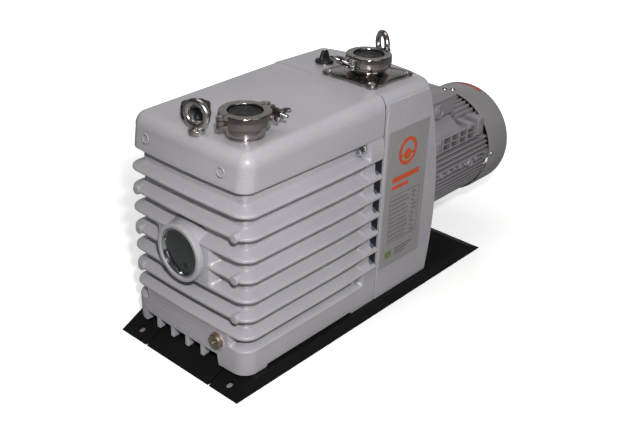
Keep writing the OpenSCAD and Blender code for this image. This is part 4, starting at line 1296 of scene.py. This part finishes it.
def terminal_box():
    part = terminal_stack(((96, 100, 6, 250), (98, 104, 6, 258), (108, 110, 6, 264),
                           (110, 112, 6, 291.4)))
    part.finish("terminal_box_body", MOTOR, "motor_grey", smooth=40, bevel=0.8,
                replaces="terminal_box")
    part = terminal_stack(((110, 112, 6, 292.2), (111.5, 113.5, 6, 293.0),
                           (111.5, 113.5, 6, 296.4), (110, 112, 6, 297.2),
                           (92, 94, 7, 304.2), (88, 90, 7, 305.0)))
    part.finish("terminal_box_cover", MOTOR, "motor_grey", smooth=40, bevel=0.6,
                replaces="terminal_box_lid")
    axis = along_x(0, TERMINAL_Y, TERMINAL_PORT_Z)
    part = Part()
    part.turn([(15.0, 54.0), (15.0, 56.2), (12.6, 57.2), (12.4, 59.0), (10.2, 59.2),
               (9.6, 57.6), (6.4, 57.4), (5.6, 58.6), (0.0, 58.7)], axis, 64, rounding=0.6)
    part.turn([(15.0, -54.0), (15.0, -56.2), (12.6, -57.2), (0.0, -57.4)], axis, 64,
              rounding=0.6)
    part.finish("terminal_box_knockout", MOTOR, "motor_grey", smooth=40,
                replaces="cable_plug")
    part = Part()
    for side_x in SIDES:
        for side_y in SIDES:
            part.turn([(5.0, 304.2), (5.0, 305.6), (4.0, 307.2), (0.0, 308.0)],
                      along_z(side_x * 38, TERMINAL_Y + side_y * 39), 36, rounding=0.6)
    part.finish("terminal_box_screw_heads", ZINC, "zinc", smooth=45,
                replaces="terminal_box_screws")


def fan_cowl():
    """Thin rolled shell with a rounded end; rings, a hub disc and spokes form the grille."""
    wall, back = 1.9, COWL_END - 2
    bend = (COWL_R - 10, COWL_END - 10)     # centre of the rounded end, radius and y
    start = (COWL_R - wall, 672.0)
    profile = [start, (COWL_R - 0.3, 671.8), (COWL_R, 672.6), (COWL_R, 700.0),
               (COWL_R, 733.0)]
    profile += [polar(10, angle, *bend) for angle in (8, 18, 30, 42, 54, 66, 78, 90)]
    profile += [(78.0, COWL_END), (77.8, COWL_END - 1.8), (COWL_R - 10, back)]
    profile += [polar(8, angle, *bend) for angle in (66, 42, 18, 0)]
    profile += [(COWL_R - 2.0, 700.0), start]
    part = Part().turn(profile, MOTOR_AXIS, 192)
    for i in range(4):
        inner, outer = 30.0 + 12 * i, 36.0 + 12 * i
        part.turn([(inner, back), (inner, COWL_END - 0.3), (inner + 0.4, COWL_END),
                   (outer - 0.4, COWL_END), (outer, COWL_END - 0.3), (outer, back),
                   (inner, back)], MOTOR_AXIS, 128)
    part.turn([(0.0, COWL_END), (23.6, COWL_END), (24.0, COWL_END - 0.4), (24.0, back),
               (0.0, back)], MOTOR_AXIS, 96)
    for i in range(8):
        part.loft([[motor_point(out, across, 45 * i + 22.5, y)
                    for out, across in ((22, -2.6), (80, -2.6), (80, 2.6), (22, 2.6))]
                   for y in (back, COWL_END - 0.15)])
    part.finish("fan_cowl_shell", COWL, "motor_grey", smooth=40, replaces="fan_cowl")


def cowl_screws():
    # radius, height above the cowl
    head = ((5.6, -0.2), (5.6, 0.8), (4.6, 1.2), (4.3, 2.6), (2.6, 3.9), (0.0, 4.3))
    part = Part()
    for angle in (0, 90, 180, 270):
        part.turn([(radius, COWL_R + z) for radius, z in head],
                  lambda x, y, z: motor_point(z, x, angle, 680.0 + y), 40, rounding=0.5)
        part.turn([(5.2, 94.0), (5.2, 98.6), (3.4, 99.6), (0.0, 99.9)],
                  lambda x, y, z: motor_point(z, x, angle, 664.0 + y), 32, rounding=0.6)
    part.finish("cowl_screw_heads", ZINC, "zinc", smooth=45, replaces="cowl_screws")


def rotation_arrow():
    """Curved bar with a pointed head, lying on top of the cowl."""
    steps, middle_y = 24, 728
    start, sweep, head_start, tip = 107.0, 37.0, 77, 69.5       # degrees
    part = Part()
    pairs = []
    for i in range(steps + 1):
        angle = start - sweep * i / steps
        half = 3.4 if angle > head_start else 6.4 * (angle - tip) / 7.5
        pairs.append(part.ring(motor_point(COWL_R + 0.25, 0.0, angle, y)
                               for y in (middle_y - half, middle_y + half)))
    for first, second in zip(pairs, pairs[1:]):
        part.bm.faces.new((first[0], second[0], second[1], first[1]))
    ob = part.finish("rotation_arrow_film", ARROW, "arrow", smooth=60,
                     replaces="rotation_arrow")
    thick = ob.modifiers.new("thick", "SOLIDIFY")
    thick.thickness = 0.3 * MM
    thick.offset = 1.0


def motor_flange():
    """Flange between the rear housing and the fins."""
    part = Part().turn([(60.0, 436.2), (98.0, 436.2), (98.0, 446.0), (76.0, 446.4),
                        (74.0, 449.0), (74.0, 452.5), (60.0, 452.6)], MOTOR_AXIS, 160,
                       rounding=1.2)
    part.finish("motor_flange_casting", MOTOR, "motor_grey", smooth=40,
                replaces="motor_flange_shield")


# ---------------------------------------------------------------- CAD pieces
# Every CAD piece that isn't listed is steel.
CAD_MATERIALS = (
    (PAINT, "oil_case"),
    (PAINT_REAR, "rear_housing"),
    (BASE, "base_plate"),
    (RUBBER, "case_gasket sight_glass_seal filler_seal port_seal_rings shaft_seal"),
    (COPPER, "drain_washer stator_windings"),
    (MOTOR, "motor_rear_shield motor_frame motor_flange_shield terminal_box "
            "terminal_box_lid cable_plug"),
    (COWL, "fan_cowl"),
    (IRON, "stator_core motor_rotor coupling_hubs pump_rotor hv_cylinder lv_cylinder "
           "stage_plates"),
    (BLACK, "cooling_fan oil_filler_cap port_blank_plugs gas_ballast_knob"),
    (RED, "coupling_spider"),
    (VANE, "hv_vane_a hv_vane_b lv_vane_a lv_vane_b"),
    (FILTER, "exhaust_filter"),
    (ZINC, "housing_screws intake_flange_screws clamp_pins exhaust_clamp_bolt "
           "intake_clamp_bolt terminal_box_screws cowl_screws"),
    (CHROME, "sight_glass_ring"),
    (GLASS, "sight_glass"),
    (PLUG, "drain_plug"),
    (NICKEL, "exhaust_nozzle eye_bolts"),
    (NICKEL_CAST, "intake_flange exhaust_clamp_left_half exhaust_clamp_right_half "
                  "exhaust_wing_nut intake_clamp_left_half intake_clamp_right_half "
                  "intake_wing_nut"),
    (LABEL, "rating_label"),
    (ARROW, "rotation_arrow"),
)


def dress_cad_pieces():
    by_name = {name: material for material, names in CAD_MATERIALS for name in names.split()}
    for name, ob in nodes.items():
        ob.data.materials.clear()
        ob.data.materials.append(by_name.get(name, STEEL))
    edge = nodes["base_plate"].modifiers.new("edge", "BEVEL")
    edge.width = 0.9 * MM
    edge.segments = 3
    edge.limit_method = "ANGLE"
    edge.angle_limit = math.radians(25)


# ---------------------------------------------------------------- stage, light, camera
def floor_material():
    """Pale floor that glows for the camera only, with a painted shadow under the base plate."""
    base_middle_y, base_half_x, base_half_y = -0.059, 0.126, 0.318
    strip_half_x = 0.088        # darkest strip along the middle
    bounce_colour, under_base_shadow_colour = (0.24, 0.235, 0.23), (0.34, 0.29, 0.27)
    darkest_shadow_colour = (0.016, 0.014, 0.013)
    m = Look("floor_pale")
    distance = m.node("ShaderNodeVectorMath")
    distance.operation = "LENGTH"
    m.link(m.coords, distance.inputs[0])
    camera_ray = m.node("ShaderNodeLightPath").outputs["Is Camera Ray"]
    place = m.node("ShaderNodeSeparateXYZ")
    m.link(m.coords, place.inputs[0])
    from_x = m.math("ABSOLUTE", place.outputs["X"])
    from_y = m.math("ABSOLUTE", m.math("ADD", place.outputs["Y"], -base_middle_y))

    def within(half_x):
        return m.math("MULTIPLY", m.math("LESS_THAN", from_x, half_x),
                      m.math("LESS_THAN", from_y, base_half_y))

    # painted shadow: under the base plate the floor takes a darker colour and no glow, near
    # black along the middle strip
    under, strip = within(base_half_x), within(strip_half_x)
    pale = m.fade(m.noise(scale=1.5, detail=3.0), low=0.80, high=0.84)
    colour = m.mix(camera_ray, bounce_colour, pale)
    colour = m.mix(under, colour, under_base_shadow_colour)
    # (position, glow), the position being 0.4 of the distance from the origin in metres
    glow_stops = [(0.0, 0.36), (0.2, 0.40), (0.55, 0.95), (1.0, 1.0)]
    glow = m.ramp(m.math("MULTIPLY", distance.outputs["Value"], 0.4), glow_stops)
    glow = m.math("MULTIPLY", glow, camera_ray)
    glow = m.math("MULTIPLY", glow, m.math("SUBTRACT", 1.0, under))
    m.set(color=m.mix(strip, colour, darkest_shadow_colour), rough=0.9, spec=0.1,
          emission=(1.0, 1.0, 1.0), glow=glow)
    return m.material


def build_floor():
    half, cells, z = 6, 12, -0.0002     # metres; just below the feet
    bm = bmesh.new()
    grid = [[bm.verts.new((i - half, j - half, z)) for j in range(cells + 1)]
            for i in range(cells + 1)]
    for i in range(cells):
        for j in range(cells):
            bm.faces.new((grid[i][j], grid[i + 1][j], grid[i + 1][j + 1], grid[i][j + 1]))
    mesh = bpy.data.meshes.new("floor")
    bm.to_mesh(mesh)
    bm.free()
    floor = bpy.data.objects.new("floor", mesh)
    bpy.context.scene.collection.objects.link(floor)
    mesh.materials.append(floor_material())


# World colours by the height of the ray: (z, colour)
NEAR_WALL = [(0.0, (0.16, 0.14, 0.125)), (0.10, (0.075, 0.068, 0.062)),
             (0.5, (0.035, 0.033, 0.032)), (1.0, (0.16, 0.16, 0.165))]
FAR_WALL = [(0.0, (0.40, 0.38, 0.36)), (0.18, (0.95, 0.92, 0.90)), (0.40, (0.85, 0.83, 0.81)),
            (0.60, (0.40, 0.39, 0.385)), (1.0, (0.16, 0.16, 0.165))]
SOFT_SKY = [(0.0, (0.10, 0.10, 0.10)), (0.2, (0.22, 0.22, 0.225)), (1.0, (1.0, 1.0, 1.0))]
FAR_SHARE = [(0.0, 0.0), (0.55, 0.25), (0.85, 1.0)]     # by how far the ray points away
AWAY_X, AWAY_Y = -0.648, 0.762                          # level direction of the view
WORLD_STRENGTH = 0.42


def build_world():
    """White to the camera, a dim room with a light far wall to mirrors, soft sky to the rest."""
    world = bpy.data.worlds.new("studio")
    bpy.context.scene.world = world
    world.use_nodes = True
    w = Nodes(world.node_tree)
    light = w.tree.nodes["Background"]
    rays = w.node("ShaderNodeLightPath")
    coords = w.node("ShaderNodeTexCoord")
    direction = w.node("ShaderNodeSeparateXYZ")
    w.link(coords.outputs["Generated"], direction.inputs[0])
    away = w.math("ADD", w.math("MULTIPLY", direction.outputs["X"], AWAY_X),
                  w.math("MULTIPLY", direction.outputs["Y"], AWAY_Y))
    height = direction.outputs["Z"]
    room = w.mix(w.ramp(away, FAR_SHARE), w.ramp(height, NEAR_WALL), w.ramp(height, FAR_WALL))
    colour = w.mix(rays.outputs["Is Glossy Ray"], w.ramp(height, SOFT_SKY), room)
    w.link(colour, light.inputs["Color"])
    light.inputs["Strength"].default_value = WORLD_STRENGTH
    backdrop = w.node("ShaderNodeBackground")
    backdrop.inputs["Color"].default_value = (1.0, 1.0, 1.0, 1)
    choice = w.node("ShaderNodeMixShader")
    w.link(rays.outputs["Is Camera Ray"], choice.inputs[0])
    w.link(light.outputs[0], choice.inputs[1])
    w.link(backdrop.outputs[0], choice.inputs[2])
    w.link(choice.outputs[0], w.tree.nodes["World Output"].inputs["Surface"])


def area(name, place, target, size, energy, color, size_y=None):
    light = bpy.data.lights.new(name, "AREA")
    light.shape = "RECTANGLE" if size_y else "SQUARE"
    light.size = size
    if size_y:
        light.size_y = size_y
    light.energy = energy
    light.color = color
    ob = bpy.data.objects.new(name, light)
    ob.location = place
    aim = Vector(target) - Vector(place)
    ob.rotation_euler = aim.to_track_quat("-Z", "Y").to_euler()
    bpy.context.scene.collection.objects.link(ob)
    return ob


CAMERA_PLACE = to_world(877.43, -728.44, 849.15)


def build_lights():
    area("flash", place=CAMERA_PLACE + Vector((0.05, 0.06, 0.21)),
         target=to_world(0, 200, 200), size=0.05, energy=19.5, color=(1.0, 0.985, 0.97))
    area("ceiling", place=(-0.3, 0.2, 2.3), target=(0, 0, 0.3), size=1.5, size_y=0.6,
         energy=6.5, color=(1.0, 0.98, 0.95))
    area("side_soft", place=(1.9, -0.2, 1.0), target=(0, 0, 0.2), size=1.0, size_y=1.0,
         energy=2.9, color=(0.98, 0.99, 1.0))
    back = area("back_soft", place=(-1.5, 1.85, 0.75), target=(0, 0.1, 0.2), size=1.2,
                size_y=0.7, energy=17.0, color=(1.0, 0.995, 0.99))
    end = area("end_soft", place=(1.3, 2.0, 0.8), target=(0, 0.2, 0.2), size=1.0,
               size_y=0.7, energy=3.5, color=(1.0, 0.995, 0.99))
    for ob in (back, end):
        ob.visible_glossy = False


def build_camera():
    view = Vector((-0.5745098185, 0.6754883179, -0.4622272177))
    right = Vector((0.7484605107, 0.6621271181, 0.0373435843))
    up = right.cross(view).normalized()
    data = bpy.data.cameras.new("camera")
    camera = bpy.data.objects.new("camera", data)
    bpy.context.scene.collection.objects.link(camera)
    rows = [(right[i], up[i], -view[i], CAMERA_PLACE[i]) for i in range(3)]
    camera.matrix_world = Matrix((*rows, (0, 0, 0, 1)))
    data.lens = 50.52285
    data.sensor_width = 36.0
    data.clip_start = 0.01
    bpy.context.scene.camera = camera
    bpy.context.scene.view_settings.view_transform = "Standard"


for build in (oil_case, rear_housing, rating_plate, sight_glass, drain_plug, housing_screws,
              exhaust_neck, intake, clamps, lifting_eyes, filler_cap, ballast_knob,
              motor_frame, terminal_box, fan_cowl, cowl_screws, rotation_arrow, motor_flange,
              dress_cad_pieces, build_floor, build_world, build_lights, build_camera):
    build()
